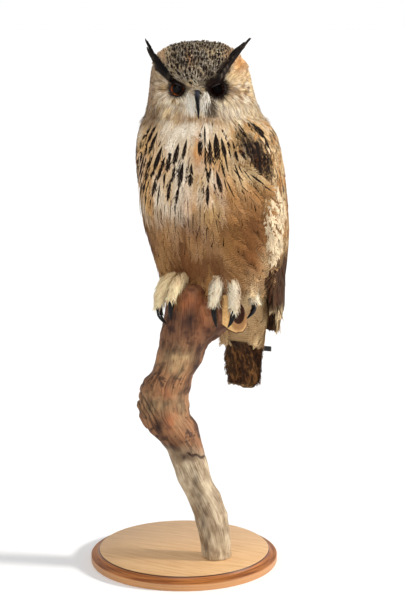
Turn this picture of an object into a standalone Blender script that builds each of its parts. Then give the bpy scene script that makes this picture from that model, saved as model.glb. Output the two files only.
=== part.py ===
"""A mounted eagle-owl at life size, perched on a forked branch that stands on a turned wooden base.

Metres, +Z up. The origin is the centre of the base's underside and the owl looks along -Y.
"left" and "right" are the owl's own: its left wing is on the +X side.
"""

import math

import bmesh
import bpy
from mathutils import Matrix, Vector

# ---------------------------------------------------------------- driving dimensions
GAP = 0.0003                 # clearance between pieces that touch
EMBED = 0.004                # how far a piece reaches into its neighbour before it is cut back

BASE_RADIUS = 0.180
BASE_TOP_RADIUS = 0.1636
BASE_HEIGHT = 0.024
BASE_SEGMENTS = 32

ANKLE = 0.579                # plane between leg and foot
SKIRT = 0.5575               # lower edge of the belly feathers
CHIN = 0.868                 # plane between neck and head
COLLAR = 0.812               # plane between trunk and neck
CROWN = 0.994

EYE_RADIUS = 0.0150
EYE_SPACING = 0.0720
EYE_HEIGHT = 0.9105
EYE_DEPTH = -0.0655          # Y of the middle of each eye
FACE_X = 0.0268              # middle of the face

BODY_SIDES = 22
TRUNK_SPACING = 0.028        # between the rings of a body piece
NECK_SPACING = 0.0187
WING_SPACING = 0.026
HEAD_SPACING = 0.0098
HEAD_FRONT_SIDES = 22
HEAD_BACK_SIDES = 8
HEAD_SQUARENESS = 2.5
BRANCH_SIDES = 15
CUTTER_SIDES = 12
CUTTER_ROWS = 6

# Height, centre X, centre Y, half width, depth in front, depth behind, yaw in degrees. The rows below
# the skirt carry on the body's round for the wing tips, where there is no trunk left.
TORSO = (
    (0.420, 0.088, 0.040, 0.084, 0.060, 0.100, 24),
    (0.500, 0.078, 0.022, 0.102, 0.070, 0.110, 24),
    (0.557, 0.062, 0.010, 0.114, 0.078, 0.118, 24),
    (0.600, 0.059, 0.006, 0.122, 0.094, 0.121, 23),
    (0.650, 0.053, 0.003, 0.1295, 0.108, 0.119, 21),
    (0.700, 0.049, 0.000, 0.1310, 0.117, 0.113, 18),
    (0.750, 0.046, -0.001, 0.1285, 0.116, 0.106, 15),
    (0.790, 0.044, -0.002, 0.1235, 0.108, 0.099, 12),
    (0.815, 0.042, -0.003, 0.1190, 0.101, 0.094, 9),
    (0.840, 0.040, -0.004, 0.1120, 0.093, 0.090, 6),
    (0.868, 0.0365, -0.005, 0.1040, 0.0860, 0.0850, 4),
)

# The same for the head, from the chin plane to the crown.
HEAD = (
    (0.868, 0.0365, -0.005, 0.1040, 0.0860, 0.0850, 4),
    (0.890, 0.0350, -0.005, 0.1000, 0.0830, 0.0830, 4),
    (0.912, 0.0335, -0.005, 0.0955, 0.0810, 0.0820, 4),
    (0.935, 0.0320, -0.004, 0.0920, 0.0810, 0.0790, 4),
    (0.955, 0.0300, -0.003, 0.0850, 0.0770, 0.0730, 4),
    (0.972, 0.0285, -0.002, 0.0730, 0.0680, 0.0630, 4),
    (0.984, 0.0290, 0.000, 0.0570, 0.0540, 0.0500, 4),
    (0.991, 0.0310, 0.002, 0.0400, 0.0370, 0.0340, 4),
    (0.994, 0.0320, 0.002, 0.0200, 0.0190, 0.0170, 4),
)

# Height, centre X, centre Y, half width, half depth of the branch.
BRANCH = (
    (0.0243, 0.0630, -0.0590, 0.0285, 0.0250),
    (0.060, 0.0590, -0.0585, 0.0300, 0.0270),
    (0.110, 0.0517, -0.0570, 0.0325, 0.0300),
    (0.145, 0.0375, -0.0560, 0.0338, 0.0310),
    (0.175, 0.0220, -0.0550, 0.0334, 0.0310),
    (0.205, 0.0125, -0.0545, 0.0342, 0.0320),
    (0.236, 0.0030, -0.0540, 0.0369, 0.0350),
    (0.252, -0.0048, -0.0530, 0.0400, 0.0370),
    (0.268, -0.0161, -0.0520, 0.0472, 0.0410),
    (0.283, -0.0260, -0.0510, 0.0525, 0.0430),
    (0.300, -0.0370, -0.0500, 0.0498, 0.0430),
    (0.318, -0.0392, -0.0490, 0.0510, 0.0420),
    (0.340, -0.0375, -0.0480, 0.0482, 0.0410),
    (0.355, -0.0345, -0.0470, 0.0490, 0.0410),
    (0.369, -0.0295, -0.0460, 0.0460, 0.0400),
    (0.384, -0.0186, -0.0450, 0.0418, 0.0390),
    (0.400, -0.0102, -0.0440, 0.0450, 0.0400),
    (0.430, -0.0020, -0.0420, 0.0475, 0.0420),
    (0.455, 0.0040, -0.0400, 0.0480, 0.0430),
    (0.480, 0.0075, -0.0380, 0.0460, 0.0430),
    (0.505, 0.0095, -0.0370, 0.0440, 0.0430),
    (0.530, 0.0110, -0.0360, 0.0420, 0.0420),
    (0.544, 0.0120, -0.0350, 0.0380, 0.0380),
    (0.551, 0.0130, -0.0350, 0.0280, 0.0290),
)

# The right fork: centre, half width across the limb, half height. It ends in a saw cut facing the front.
FORK = (
    ((0.010, -0.038, 0.440), 0.024, 0.028),
    ((0.036, -0.038, 0.468), 0.032, 0.040),
    ((0.064, -0.042, 0.494), 0.034, 0.046),
    ((0.084, -0.052, 0.500), 0.034, 0.047),
)
SAW_CUT_Y = -0.0770
ROT_HOLLOW_RADII = (0.011, 0.012, 0.022)
ROT_HOLLOW_CENTRE = (0.101, SAW_CUT_Y - 0.002, 0.500)
FORK_SIDES = 12

# Height, front edge and back edge as degrees from the owl's side towards its back, thickness.
WING = (
    (0.436, 38, 60, 0.0060),
    (0.456, 24, 72, 0.0075),
    (0.490, 8, 81, 0.0095),
    (0.540, -4, 86, 0.0110),
    (0.600, -12, 87, 0.0130),
    (0.660, -19, 85, 0.0150),
    (0.720, -26, 79, 0.0150),
    (0.760, -42, 70, 0.0160),
    (0.790, -58, 62, 0.0160),
    (0.815, -60, 52, 0.0165),
    (0.835, -54, 40, 0.0145),
    (0.850, -40, 26, 0.0080),
)
WING_SPLIT = 0.588           # above it the coverts, below it the flight feathers
WING_COLUMNS = 8
FAR_WING_SET_BACK = 24       # the right wing's front edge lies further back than the left's
FAR_WING_THICKNESS = 0.65    # and it is pressed flatter

# Centre, half width, half thickness, from the root to the tip.
TAIL = (
    ((0.0990, 0.0860, 0.600), 0.030, 0.0120),
    ((0.1040, 0.0920, 0.540), 0.038, 0.0120),
    ((0.1100, 0.1020, 0.470), 0.040, 0.0105),
    ((0.1160, 0.1130, 0.410), 0.040, 0.0090),
    ((0.1155, 0.1230, 0.355), 0.038, 0.0075),
    ((0.1135, 0.1280, 0.328), 0.033, 0.0065),
    ((0.1105, 0.1300, 0.317), 0.023, 0.0050),
    ((0.1085, 0.1310, 0.3125), 0.013, 0.0040),
)
VENT = (
    ((0.0880, 0.0420, 0.590), 0.050, 0.0420),
    ((0.0960, 0.0500, 0.545), 0.056, 0.0420),
    ((0.1050, 0.0600, 0.500), 0.058, 0.0370),
    ((0.1100, 0.0740, 0.455), 0.055, 0.0280),
    ((0.1130, 0.0880, 0.425), 0.046, 0.0180),
    ((0.1130, 0.0950, 0.408), 0.030, 0.0100),
    ((0.1135, 0.0980, 0.401), 0.012, 0.0050),
)
TAIL_YAW = math.radians(24)
PLATE_SIDES = 12

# Centre, half width, half depth of each leg's feathers, from the thigh down to the foot.
LEG = (
    ((0.000, 0.0000, 0.690), 0.014, 0.012),
    ((0.000, -0.0150, 0.678), 0.030, 0.028),
    ((0.000, -0.0240, 0.650), 0.038, 0.038),
    ((0.000, -0.0260, 0.615), 0.038, 0.040),
    ((0.000, -0.0270, 0.590), 0.032, 0.035),
    ((0.000, -0.0280, ANKLE + GAP), 0.024, 0.026),
)
LEG_X = {"right": 0.0040, "left": 0.0810}
LEG_SIDES = 12

# Each toe is the run of its middle line and the claw that follows it, by foot.
TOES = {
    "right": {
        "outer": (
            ((0.002, -0.034, 0.566), (-0.022, -0.042, 0.560),
             (-0.040, -0.050, 0.536), (-0.0435, -0.052, 0.511)),
            ((-0.0445, -0.054, 0.506), (-0.0440, -0.060, 0.494),
             (-0.0370, -0.066, 0.484), (-0.0300, -0.068, 0.477)),
        ),
        "inner": (
            ((0.006, -0.040, 0.567), (-0.006, -0.066, 0.563),
             (-0.017, -0.081, 0.545), (-0.0205, -0.0845, 0.529)),
            ((-0.0210, -0.0850, 0.524), (-0.0225, -0.0890, 0.511),
             (-0.0228, -0.0870, 0.498), (-0.0226, -0.0815, 0.487)),
        ),
        "hind": (
            ((0.002, -0.020, 0.564), (-0.004, 0.000, 0.559), (-0.008, 0.012, 0.541), (-0.009, 0.014, 0.522)),
            ((-0.009, 0.014, 0.517), (-0.009, 0.018, 0.505), (-0.008, 0.016, 0.493), (-0.007, 0.010, 0.484)),
        ),
        "fourth": (
            ((0.000, -0.024, 0.564), (-0.020, -0.012, 0.559),
             (-0.036, -0.010, 0.542), (-0.041, -0.012, 0.522)),
            ((-0.042, -0.013, 0.517), (-0.044, -0.016, 0.505),
             (-0.042, -0.019, 0.493), (-0.037, -0.021, 0.484)),
        ),
    },
    "left": {
        "inner": (
            ((0.076, -0.040, 0.567), (0.067, -0.068, 0.565),
             (0.060, -0.0865, 0.545), (0.0570, -0.0900, 0.523)),
            ((0.0570, -0.0900, 0.518), (0.0565, -0.0960, 0.503),
             (0.0595, -0.0940, 0.486), (0.0625, -0.0860, 0.4736)),
        ),
        "middle": (
            ((0.082, -0.040, 0.567), (0.088, -0.068, 0.563),
             (0.0930, -0.0865, 0.541), (0.0930, -0.0900, 0.512)),
            ((0.0925, -0.0900, 0.507), (0.0905, -0.0960, 0.496),
             (0.0860, -0.0920, 0.483), (0.0810, -0.0840, 0.4736)),
        ),
        "outer": (
            ((0.086, -0.032, 0.566), (0.110, -0.034, 0.560),
             (0.1270, -0.040, 0.541), (0.1310, -0.044, 0.519)),
            ((0.1310, -0.044, 0.514), (0.1310, -0.052, 0.503),
             (0.1240, -0.062, 0.494), (0.1150, -0.071, 0.487)),
        ),
        "hind": (
            ((0.082, -0.021, 0.563), (0.083, 0.003, 0.557), (0.082, 0.015, 0.540), (0.081, 0.017, 0.522)),
            ((0.081, 0.017, 0.517), (0.081, 0.021, 0.505), (0.080, 0.019, 0.493), (0.079, 0.013, 0.484)),
        ),
    },
}
TOE_RADIUS = (0.0105, 0.0115, 0.0115, 0.0085)
TALON_RADIUS = (0.0048, 0.0042, 0.0028, 0.0006)
FOOT_WELL = (0.050, 0.066, 0.030)
FOOT_WELL_SHIFT = {"right": -0.008, "left": 0.006}
FOOT_WELL_Y = -0.040
FOOT_WELL_HEIGHT = 0.556
PAD_Y = -0.030
PAD_HALF_WIDTH = 0.016
PAD_HALF_DEPTH = 0.018
PAD_SIDES = 10
PAD_RINGS = ((0.549, 0.65), (0.556, 1.0), (ANKLE, 1.0))  # height, share of the pad's width
TOE_SIDES = 7
TALON_SIDES = 6

# Middle line and radii of the bill, from inside the face to the hooked tip.
BILL = (
    ((0.0250, -0.0700, 0.9030), 0.0080, 0.0080),
    ((0.0255, -0.0850, 0.9020), 0.0080, 0.0078),
    ((0.0262, -0.0965, 0.8960), 0.0072, 0.0074),
    ((0.0275, -0.1035, 0.8850), 0.0058, 0.0064),
    ((0.0287, -0.1050, 0.8730), 0.0042, 0.0048),
    ((0.0293, -0.1030, 0.8630), 0.0024, 0.0028),
    ((0.0295, -0.1000, 0.8575), 0.0008, 0.0010),
)
LOWER_BILL = (
    ((0.0262, -0.0740, 0.8880), 0.0060, 0.0036),
    ((0.0268, -0.0860, 0.8840), 0.0058, 0.0036),
    ((0.0278, -0.0930, 0.8765), 0.0044, 0.0030),
    ((0.0284, -0.0955, 0.8700), 0.0020, 0.0014),
)
BILL_SIDES = 8

# Each ear tuft is two leaf-shaped bundles: root, middle, tip and half width of each.
TUFTS = {
    "right": (
        ((-0.0190, -0.0920, 0.9300), (-0.0490, -0.0640, 0.9640), (-0.0690, -0.0240, 0.9985), 0.0082),
        ((-0.0340, -0.0840, 0.9440), (-0.0590, -0.0560, 0.9600), (-0.0705, -0.0200, 0.9895), 0.0070),
    ),
    "left": (
        ((0.0620, -0.0930, 0.9280), (0.0940, -0.0620, 0.9700), (0.1235, -0.0220, 0.9995), 0.0092),
        ((0.0760, -0.0860, 0.9480), (0.0880, -0.0660, 0.9720), (0.0970, -0.0240, 0.9930), 0.0075),
    ),
}
TUFT_SIDES = 8
TUFT_STEPS = 6

TAG_SIZE = (0.0180, 0.0040, 0.0098)
TAG_CENTRE = (0.1620, 0.1010, 0.3960)


# ---------------------------------------------------------------- scene and materials
def clear_scene():
    for obj in list(bpy.data.objects):
        bpy.data.objects.remove(obj, do_unlink=True)


def new_collection(name):
    collection = bpy.data.collections.new(name)
    bpy.context.scene.collection.children.link(collection)
    return collection


def material(name, colour, roughness, metallic=0.0):
    finish = bpy.data.materials.new(name)
    finish.use_nodes = True
    shader = finish.node_tree.nodes["Principled BSDF"]
    shader.inputs["Base Color"].default_value = (*colour, 1.0)
    shader.inputs["Roughness"].default_value = roughness
    shader.inputs["Metallic"].default_value = metallic
    finish.diffuse_color = (*colour, 1.0)
    return finish


clear_scene()
PARTS = new_collection("mounted_eagle_owl")
CUTTERS = new_collection("cutters")
JOINED = {}                  # the members joined into each object, by its name

VARNISHED_WOOD = material("varnished_wood", (0.62, 0.33, 0.13), 0.25)
WEATHERED_WOOD = material("weathered_wood", (0.36, 0.22, 0.13), 0.75)
BREAST_FEATHER = material("breast_feather", (0.62, 0.47, 0.30), 0.85)
FACE_FEATHER = material("face_feather", (0.52, 0.43, 0.32), 0.85)
WING_FEATHER = material("wing_feather", (0.25, 0.17, 0.11), 0.8)
TAIL_FEATHER = material("tail_feather", (0.22, 0.14, 0.09), 0.8)
TUFT_FEATHER = material("tuft_feather", (0.05, 0.04, 0.035), 0.7)
TOE_FEATHER = material("toe_feather", (0.80, 0.70, 0.52), 0.85)
HORN = material("horn", (0.03, 0.028, 0.028), 0.25)
GLASS_EYE = material("glass_eye", (0.55, 0.20, 0.04), 0.08)
TAG_PLASTIC = material("tag_plastic", (0.02, 0.02, 0.02), 0.4)


# ---------------------------------------------------------------- modelling helpers
def smooth_rows(rows, steps):
    """The rows with steps - 1 more between each two, on a curve through them all."""
    result = []
    for i in range(len(rows) - 1):
        before = rows[max(i - 1, 0)]
        start = rows[i]
        end = rows[i + 1]
        after = rows[min(i + 2, len(rows) - 1)]
        for step in range(steps):
            t = step / steps
            result.append(tuple(catmull(a, b, c, d, t) for a, b, c, d in zip(before, start, end, after)))
    result.append(tuple(float(value) for value in rows[-1]))
    return result


def catmull(a, b, c, d, t):
    """The value at t from b to c on the smooth curve through a, b, c and d."""
    return 0.5 * (2 * b + (c - a) * t + (2 * a - 5 * b + 4 * c - d) * t**2 + (3 * b - a - 3 * c + d) * t**3)


def row_at(rows, height):
    """One row of a table that starts with its height, read at any height inside it."""
    for i in range(len(rows) - 1):
        if height <= rows[i + 1][0] or i == len(rows) - 2:
            before = rows[max(i - 1, 0)]
            after = rows[min(i + 2, len(rows) - 1)]
            t = (height - rows[i][0]) / (rows[i + 1][0] - rows[i][0])
            return tuple(catmull(a, b, c, d, t) for a, b, c, d in zip(before, rows[i], rows[i + 1], after))


def flat_points(stations):
    """Stations of (point, size, size) as plain rows, so that they can be smoothed."""
    return [(*point, *sizes) for point, *sizes in stations]


def new_object(name, mesh, finish, collection):
    obj = bpy.data.objects.new(name, mesh)
    obj.data.materials.append(finish)
    collection.objects.link(obj)
    return obj


def loft(name, rings, finish, collection=PARTS):
    """A closed solid through rings of points, with a flat face at each end.

    Its faces are split into triangles here, so that a cutter made from it has the very same surface.
    """
    bm = bmesh.new()
    loops = [[bm.verts.new(point) for point in ring] for ring in rings]
    sides = len(rings[0])
    for low, high in zip(loops, loops[1:]):
        for k in range(sides):
            after = (k + 1) % sides
            bm.faces.new((low[k], low[after], high[after], high[k]))
    bm.faces.new(reversed(loops[0]))
    bm.faces.new(loops[-1])
    bmesh.ops.recalc_face_normals(bm, faces=bm.faces)
    bmesh.ops.triangulate(bm, faces=bm.faces)
    mesh = bpy.data.meshes.new(name)
    bm.to_mesh(mesh)
    bm.free()
    mesh.shade_smooth()
    mesh.set_sharp_from_angle(angle=math.radians(50))
    return new_object(name, mesh, finish, collection)


def signed_power(value, power):
    return math.copysign(abs(value) ** power, value)


def section_point(row, angle, grow=0.0, square=0.87):
    """A point on a body section; the angle runs from the owl's left side (0) to its back (90 degrees)."""
    height, centre_x, centre_y, width, front, back, yaw_degrees = row
    depth = back if math.sin(angle) > 0 else front
    u = width * signed_power(math.cos(angle), square)
    v = depth * signed_power(math.sin(angle), square)
    outward = Vector((u / width**2, v / depth**2)).normalized() * grow
    u += outward.x
    v += outward.y
    yaw = math.radians(yaw_degrees)
    x = centre_x + u * math.cos(yaw) + v * math.sin(yaw)
    y = centre_y - u * math.sin(yaw) + v * math.cos(yaw)
    return Vector((x, y, height))


def even_section_point(row, angle):
    """A point on a squarish section, with points at even angles spread evenly over its width."""
    height, centre_x, centre_y, width, front, back, yaw_degrees = row
    share = math.cos(angle)
    depth = (1 - abs(share) ** HEAD_SQUARENESS) ** (1 / HEAD_SQUARENESS)
    u = width * share
    v = depth * (back if math.sin(angle) > 0 else -front)
    yaw = math.radians(yaw_degrees)
    x = centre_x + u * math.cos(yaw) + v * math.sin(yaw)
    y = centre_y - u * math.sin(yaw) + v * math.cos(yaw)
    return Vector((x, y, height))


def round_ring(centre, across, along, half_width, half_height, sides):
    """A ring of points on an ellipse that lies in the plane of two directions."""
    ring = []
    for k in range(sides):
        angle = 2 * math.pi * k / sides
        ring.append(centre + across * half_width * math.cos(angle) + along * half_height * math.sin(angle))
    return ring


def tube_rings(rows, sides, across):
    """Rings square to a curved middle line; rows hold x, y, z, half width and half height.

    The first ring's width lies along across, and each later one is turned no more than the line itself turns.
    """
    points = [Vector(row[:3]) for row in rows]
    rings = []
    for i, row in enumerate(rows):
        direction = (points[min(i + 1, len(points) - 1)] - points[max(i - 1, 0)]).normalized()
        across = (across - direction * across.dot(direction)).normalized()
        along = direction.cross(across)
        rings.append(round_ring(points[i], across, along, row[3], row[4], sides))
    return rings


def grown_copy(obj):
    """A cutter: the whole shape of obj before it is cut itself, moved out by the gap on every side."""
    name = obj.name + "_grown"
    if name in bpy.data.objects:
        return bpy.data.objects[name]
    mesh = obj.data.copy()
    bm = bmesh.new()
    bm.from_mesh(mesh)
    bm.normal_update()
    for vert in bm.verts:
        vert.co += vert.normal * GAP * min(vert.calc_shell_factor(), 2.0)
    bm.to_mesh(mesh)
    bm.free()
    cutter = bpy.data.objects.new(name, mesh)
    cutter.location = obj.location
    CUTTERS.objects.link(cutter)
    hide(cutter)
    return cutter


def hide(cutter):
    cutter.hide_render = True
    cutter.display_type = "WIRE"


def boolean(obj, other, operation, solver="EXACT"):
    modifier = obj.modifiers.new(operation.lower() + "_" + other.name, "BOOLEAN")
    modifier.object = other
    modifier.operation = operation
    modifier.solver = solver


def cut_back(obj, *neighbours, solver="EXACT"):
    """Cuts obj clear of each neighbour, and of the pieces joined into it, with the gap between them."""
    for neighbour in neighbours:
        for member in [neighbour, *JOINED.get(neighbour.name, [])]:
            boolean(obj, grown_copy(member), "DIFFERENCE", solver)


def join_into(obj, others):
    """One body from several that overlap."""
    JOINED[obj.name] = others
    for other in others:
        CUTTERS.objects.link(other)
        PARTS.objects.unlink(other)
        hide(other)
        boolean(obj, other, "UNION")


# ---------------------------------------------------------------- base and branch
def make_base():
    """A turned plinth: flat top, a small step, a cove and a straight edge with eased corners."""
    cove_steps = 5
    step_radius = BASE_TOP_RADIUS + 0.0016
    step_height = BASE_HEIGHT - 0.0018
    edge_top = 0.0135
    ease = 0.0018
    profile = [(0.0, BASE_HEIGHT), (BASE_TOP_RADIUS, BASE_HEIGHT), (step_radius, step_height)]
    for k in range(1, cove_steps + 1):
        angle = 0.5 * math.pi * k / cove_steps
        radius = step_radius + (BASE_RADIUS - 0.002 - step_radius) * (1 - math.cos(angle))
        height = step_height - (step_height - edge_top - 0.001) * math.sin(angle)
        profile.append((radius, height))
    profile += [(BASE_RADIUS, edge_top), (BASE_RADIUS, ease), (BASE_RADIUS - ease, 0.0), (0.0, 0.0)]
    mesh = bpy.data.meshes.new("base_plinth")
    points = [(radius, 0.0, height) for radius, height in profile]
    mesh.from_pydata(points, [(i, i + 1) for i in range(len(points) - 1)], [])
    base = new_object("base_plinth", mesh, VARNISHED_WOOD, PARTS)
    screw = base.modifiers.new("turned", "SCREW")
    screw.steps = BASE_SEGMENTS
    screw.render_steps = BASE_SEGMENTS
    screw.use_merge_vertices = True
    screw.merge_threshold = 0.0001
    screw.use_smooth_shade = False
    return base


def branch_ring(row):
    """A branch section: an ellipse with shallow flutes winding round the wood, and a burl on the -X side."""
    height, centre_x, centre_y, half_width, half_depth = row
    ring = []
    for k in range(BRANCH_SIDES):
        angle = 2 * math.pi * k / BRANCH_SIDES
        flute = 1 + 0.035 * math.sin(3 * angle + 22 * height) + 0.025 * math.sin(5 * angle - 31 * height)
        x = centre_x + half_width * math.cos(angle) * (0.5 + 0.5 * flute)
        y = centre_y + half_depth * math.sin(angle) * flute
        ring.append((x, y, height))
    return ring


def make_branch():
    """The forked branch: a main stem with a burl, and a fork whose end is sawn off square to the front."""
    stem = loft("perch_branch", [branch_ring(row) for row in BRANCH], WEATHERED_WOOD)
    fork_rings = tube_rings(smooth_rows(flat_points(FORK), 2), FORK_SIDES, Vector((0.8, -0.6, 0.0)))
    run = Vector((0.2, -1.0, 0.0))
    fork_rings.append([point + run * (SAW_CUT_Y - point.y) / run.y for point in fork_rings[-1]])
    fork = loft("perch_fork", fork_rings, WEATHERED_WOOD)
    join_into(stem, [fork])
    hollow = ellipsoid("rot_hollow", ROT_HOLLOW_RADII, ROT_HOLLOW_CENTRE)
    boolean(stem, hollow, "DIFFERENCE")
    return stem


def ellipsoid(name, radii, centre):
    bm = bmesh.new()
    bmesh.ops.create_uvsphere(bm, u_segments=CUTTER_SIDES, v_segments=CUTTER_ROWS, radius=1.0)
    bmesh.ops.scale(bm, vec=radii, verts=bm.verts)
    bmesh.ops.translate(bm, vec=centre, verts=bm.verts)
    return hidden_cutter(name, bm)


def hidden_cutter(name, bm):
    mesh = bpy.data.meshes.new(name)
    bm.to_mesh(mesh)
    bm.free()
    cutter = bpy.data.objects.new(name, mesh)
    CUTTERS.objects.link(cutter)
    hide(cutter)
    return cutter


# ---------------------------------------------------------------- body
def section_ring(row):
    return [section_point(row, 2 * math.pi * k / BODY_SIDES) for k in range(BODY_SIDES)]


def heights_between(low, high, spacing):
    count = max(2, round((high - low) / spacing) + 1)
    return [low + (high - low) * i / (count - 1) for i in range(count)]


def make_torso_piece(name, low, high, spacing):
    rows = [row_at(TORSO, height) for height in heights_between(low, high, spacing)]
    return loft(name, [section_ring(row) for row in rows], BREAST_FEATHER)


SKIRT_DEPTH = 0.016          # the first full ring's height above the trunk's lower edge
SKIRT_ROUNDING = ((0.0, 0.90), (0.0015, 0.955), (0.005, 0.99))  # height over the edge, share of the width


def make_trunk():
    """The trunk, drawn in a little at its lower edge, where the belly feathers turn under."""
    low_rows = []
    for lift, shrink in SKIRT_ROUNDING:
        height, x, y, width, front, back, yaw = row_at(TORSO, SKIRT + lift)
        low_rows.append((height, x, y, width * shrink, front * shrink, back * shrink, yaw))
    upper_heights = heights_between(SKIRT + SKIRT_DEPTH, COLLAR - GAP, TRUNK_SPACING)
    rows = low_rows + [row_at(TORSO, height) for height in upper_heights]
    return loft("owl_trunk", [section_ring(row) for row in rows], BREAST_FEATHER)


def bump(distance, reach):
    return math.exp(-((distance / reach) ** 2))


def brow_height(side_distance):
    """How far above the bill's root the brow's V stands at a distance to the side of it."""
    return 0.905 + 0.62 * side_distance


EYE_HOLLOW_DEPTH = 0.0100
EYE_HOLLOW_REACH = 0.0200
BROW_RISE = 0.0055
BROW_LIFT = 0.006            # the brow's ridge over the V's own line
BROW_REACH = (0.065, 0.0095)  # sideways and upwards
BILL_ROOT_RISE = 0.0085
BILL_ROOT_HEIGHT = 0.892
BILL_ROOT_REACH = (0.0105, 0.022)
CHEEK_RISE = 0.0035
CHEEK_PLACE = (0.058, 0.882)  # distance from the face's middle, height
CHEEK_REACH = 0.022


def face_relief(x, z):
    """How far the face stands out (+) or sinks (-) at a place on the front of the head."""
    side = abs(x - FACE_X)
    eye = math.hypot(side - EYE_SPACING / 2, (z - EYE_HEIGHT) * 1.05)
    hollow = -EYE_HOLLOW_DEPTH * bump(eye, EYE_HOLLOW_REACH)
    brow = BROW_RISE * bump(z - brow_height(side) - BROW_LIFT, BROW_REACH[1]) * bump(side, BROW_REACH[0])
    over_root = z - BILL_ROOT_HEIGHT
    bill_root = BILL_ROOT_RISE * bump(side, BILL_ROOT_REACH[0]) * bump(over_root, BILL_ROOT_REACH[1])
    cheek = CHEEK_RISE * bump(side - CHEEK_PLACE[0], CHEEK_REACH) * bump(z - CHEEK_PLACE[1], CHEEK_REACH)
    return hollow + brow + bill_root + cheek


def head_ring(row):
    back = [math.pi * k / HEAD_BACK_SIDES for k in range(HEAD_BACK_SIDES)]
    front = [math.pi + math.pi * k / HEAD_FRONT_SIDES for k in range(HEAD_FRONT_SIDES)]
    ring = []
    for angle in back + front:
        point = even_section_point(row, angle)
        facing = max(0.0, -math.sin(angle)) ** 0.7
        point.y -= face_relief(point.x, point.z) * facing
        ring.append(point)
    return ring


CROWN_START = 0.966
CROWN_HEIGHTS = (0.973, 0.979, 0.984, 0.988, 0.991, CROWN)  # closer together where the head rounds over


def make_head():
    rows = [row_at(HEAD, height) for height in heights_between(CHIN + GAP, CROWN_START, HEAD_SPACING)]
    rows += [row_at(HEAD, height) for height in CROWN_HEIGHTS]
    return loft("owl_head", [head_ring(row) for row in rows], FACE_FEATHER)


def wing_ring(height, side):
    """A crescent round the side of the body: out along its front, back to front along its inner side."""
    row = row_at(TORSO, height)
    _, front, back, thickness = row_at(WING, height)
    if side == "right":
        front += FAR_WING_SET_BACK
        thickness *= FAR_WING_THICKNESS
    outer = []
    inner = []
    for k in range(WING_COLUMNS + 1):
        part = k / WING_COLUMNS
        degrees = front + (back - front) * part
        crown = 0.35 + 0.65 * math.sin(math.pi * min(max(part, 0.02), 0.98)) ** 0.5
        angle = math.radians(degrees if side == "left" else 180 - degrees)
        outer.append(section_point(row, angle, thickness * crown))
        inner.append(section_point(row, angle, -EMBED))
    return outer + inner[::-1]


def make_wing_piece(name, side, low, high, finish):
    heights = heights_between(low, high, WING_SPACING)
    return loft(name, [wing_ring(height, side) for height in heights], finish)


def make_tail():
    across = Vector((math.cos(TAIL_YAW), -math.sin(TAIL_YAW), 0.0))
    return loft("owl_tail", tube_rings(flat_points(TAIL), PLATE_SIDES, across), TAIL_FEATHER)


def make_vent():
    """The long soft feathers under the tail."""
    across = Vector((math.cos(TAIL_YAW), -math.sin(TAIL_YAW), 0.0))
    return loft("owl_undertail", tube_rings(flat_points(VENT), PLATE_SIDES, across), BREAST_FEATHER)


def foot_well(side):
    """The hollow in the belly feathers that leaves room for one foot."""
    centre = (LEG_X[side] + FOOT_WELL_SHIFT[side], FOOT_WELL_Y, FOOT_WELL_HEIGHT)
    return ellipsoid("foot_well_" + side, FOOT_WELL, centre)


def make_leg(side):
    rings = []
    for x, y, z, half_width, half_depth in flat_points(LEG):
        centre = Vector((LEG_X[side], y, z))
        sizes = (half_width, half_depth)
        rings.append(round_ring(centre, Vector((1, 0, 0)), Vector((0, 1, 0)), *sizes, LEG_SIDES))
    return loft("owl_leg_" + side, rings, BREAST_FEATHER)


def tapered_tube(name, points, radii, sides, finish, steps):
    rows = [(*point, radius, radius) for point, radius in zip(points, radii)]
    return loft(name, tube_rings(smooth_rows(rows, steps), sides, Vector((0.7, -0.7, 0.2))), finish)


def make_foot(side):
    """One foot: a pad under the leg and four feathered toes, with a talon at the end of each."""
    rings = []
    for height, share in PAD_RINGS:
        centre = Vector((LEG_X[side], PAD_Y, height))
        sizes = (PAD_HALF_WIDTH * share, PAD_HALF_DEPTH * share)
        rings.append(round_ring(centre, Vector((1, 0, 0)), Vector((0, 1, 0)), *sizes, PAD_SIDES))
    foot = loft("owl_foot_" + side, rings, TOE_FEATHER)
    toes = []
    talons = []
    for toe_name, (toe, talon) in TOES[side].items():
        toe_piece = tapered_tube(f"toe_{side}_{toe_name}", toe, TOE_RADIUS, TOE_SIDES, TOE_FEATHER, 2)
        toes.append(toe_piece)
        root = Vector(talon[0]) + (Vector(talon[0]) - Vector(talon[1])).normalized() * EMBED
        talon_name = f"owl_talon_{side}_{toe_name}"
        line = (root, *talon[1:])
        talons.append(tapered_tube(talon_name, line, TALON_RADIUS, TALON_SIDES, HORN, 2))
    join_into(foot, toes)
    return foot, talons


# ---------------------------------------------------------------- head details
def make_eye(side):
    sign = 1 if side == "left" else -1
    eye = bpy.data.meshes.new("owl_eye_" + side)
    bm = bmesh.new()
    bmesh.ops.create_uvsphere(bm, u_segments=12, v_segments=8, radius=EYE_RADIUS)
    bmesh.ops.rotate(bm, verts=bm.verts, matrix=Matrix.Rotation(math.radians(90), 3, "X"))
    bm.to_mesh(eye)
    bm.free()
    eye.shade_smooth()
    obj = new_object("owl_eye_" + side, eye, GLASS_EYE, PARTS)
    turn = sign * EYE_SPACING / 2 * math.sin(math.radians(HEAD[2][-1]))
    obj.location = (FACE_X + sign * EYE_SPACING / 2, EYE_DEPTH - turn, EYE_HEIGHT)
    return obj


def make_bill():
    side = Vector((1.0, 0.0, 0.0))
    upper = loft("owl_bill_upper", tube_rings(flat_points(BILL), BILL_SIDES, side), HORN)
    lower = loft("owl_bill_lower", tube_rings(flat_points(LOWER_BILL), BILL_SIDES, side), HORN)
    return upper, lower


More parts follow.
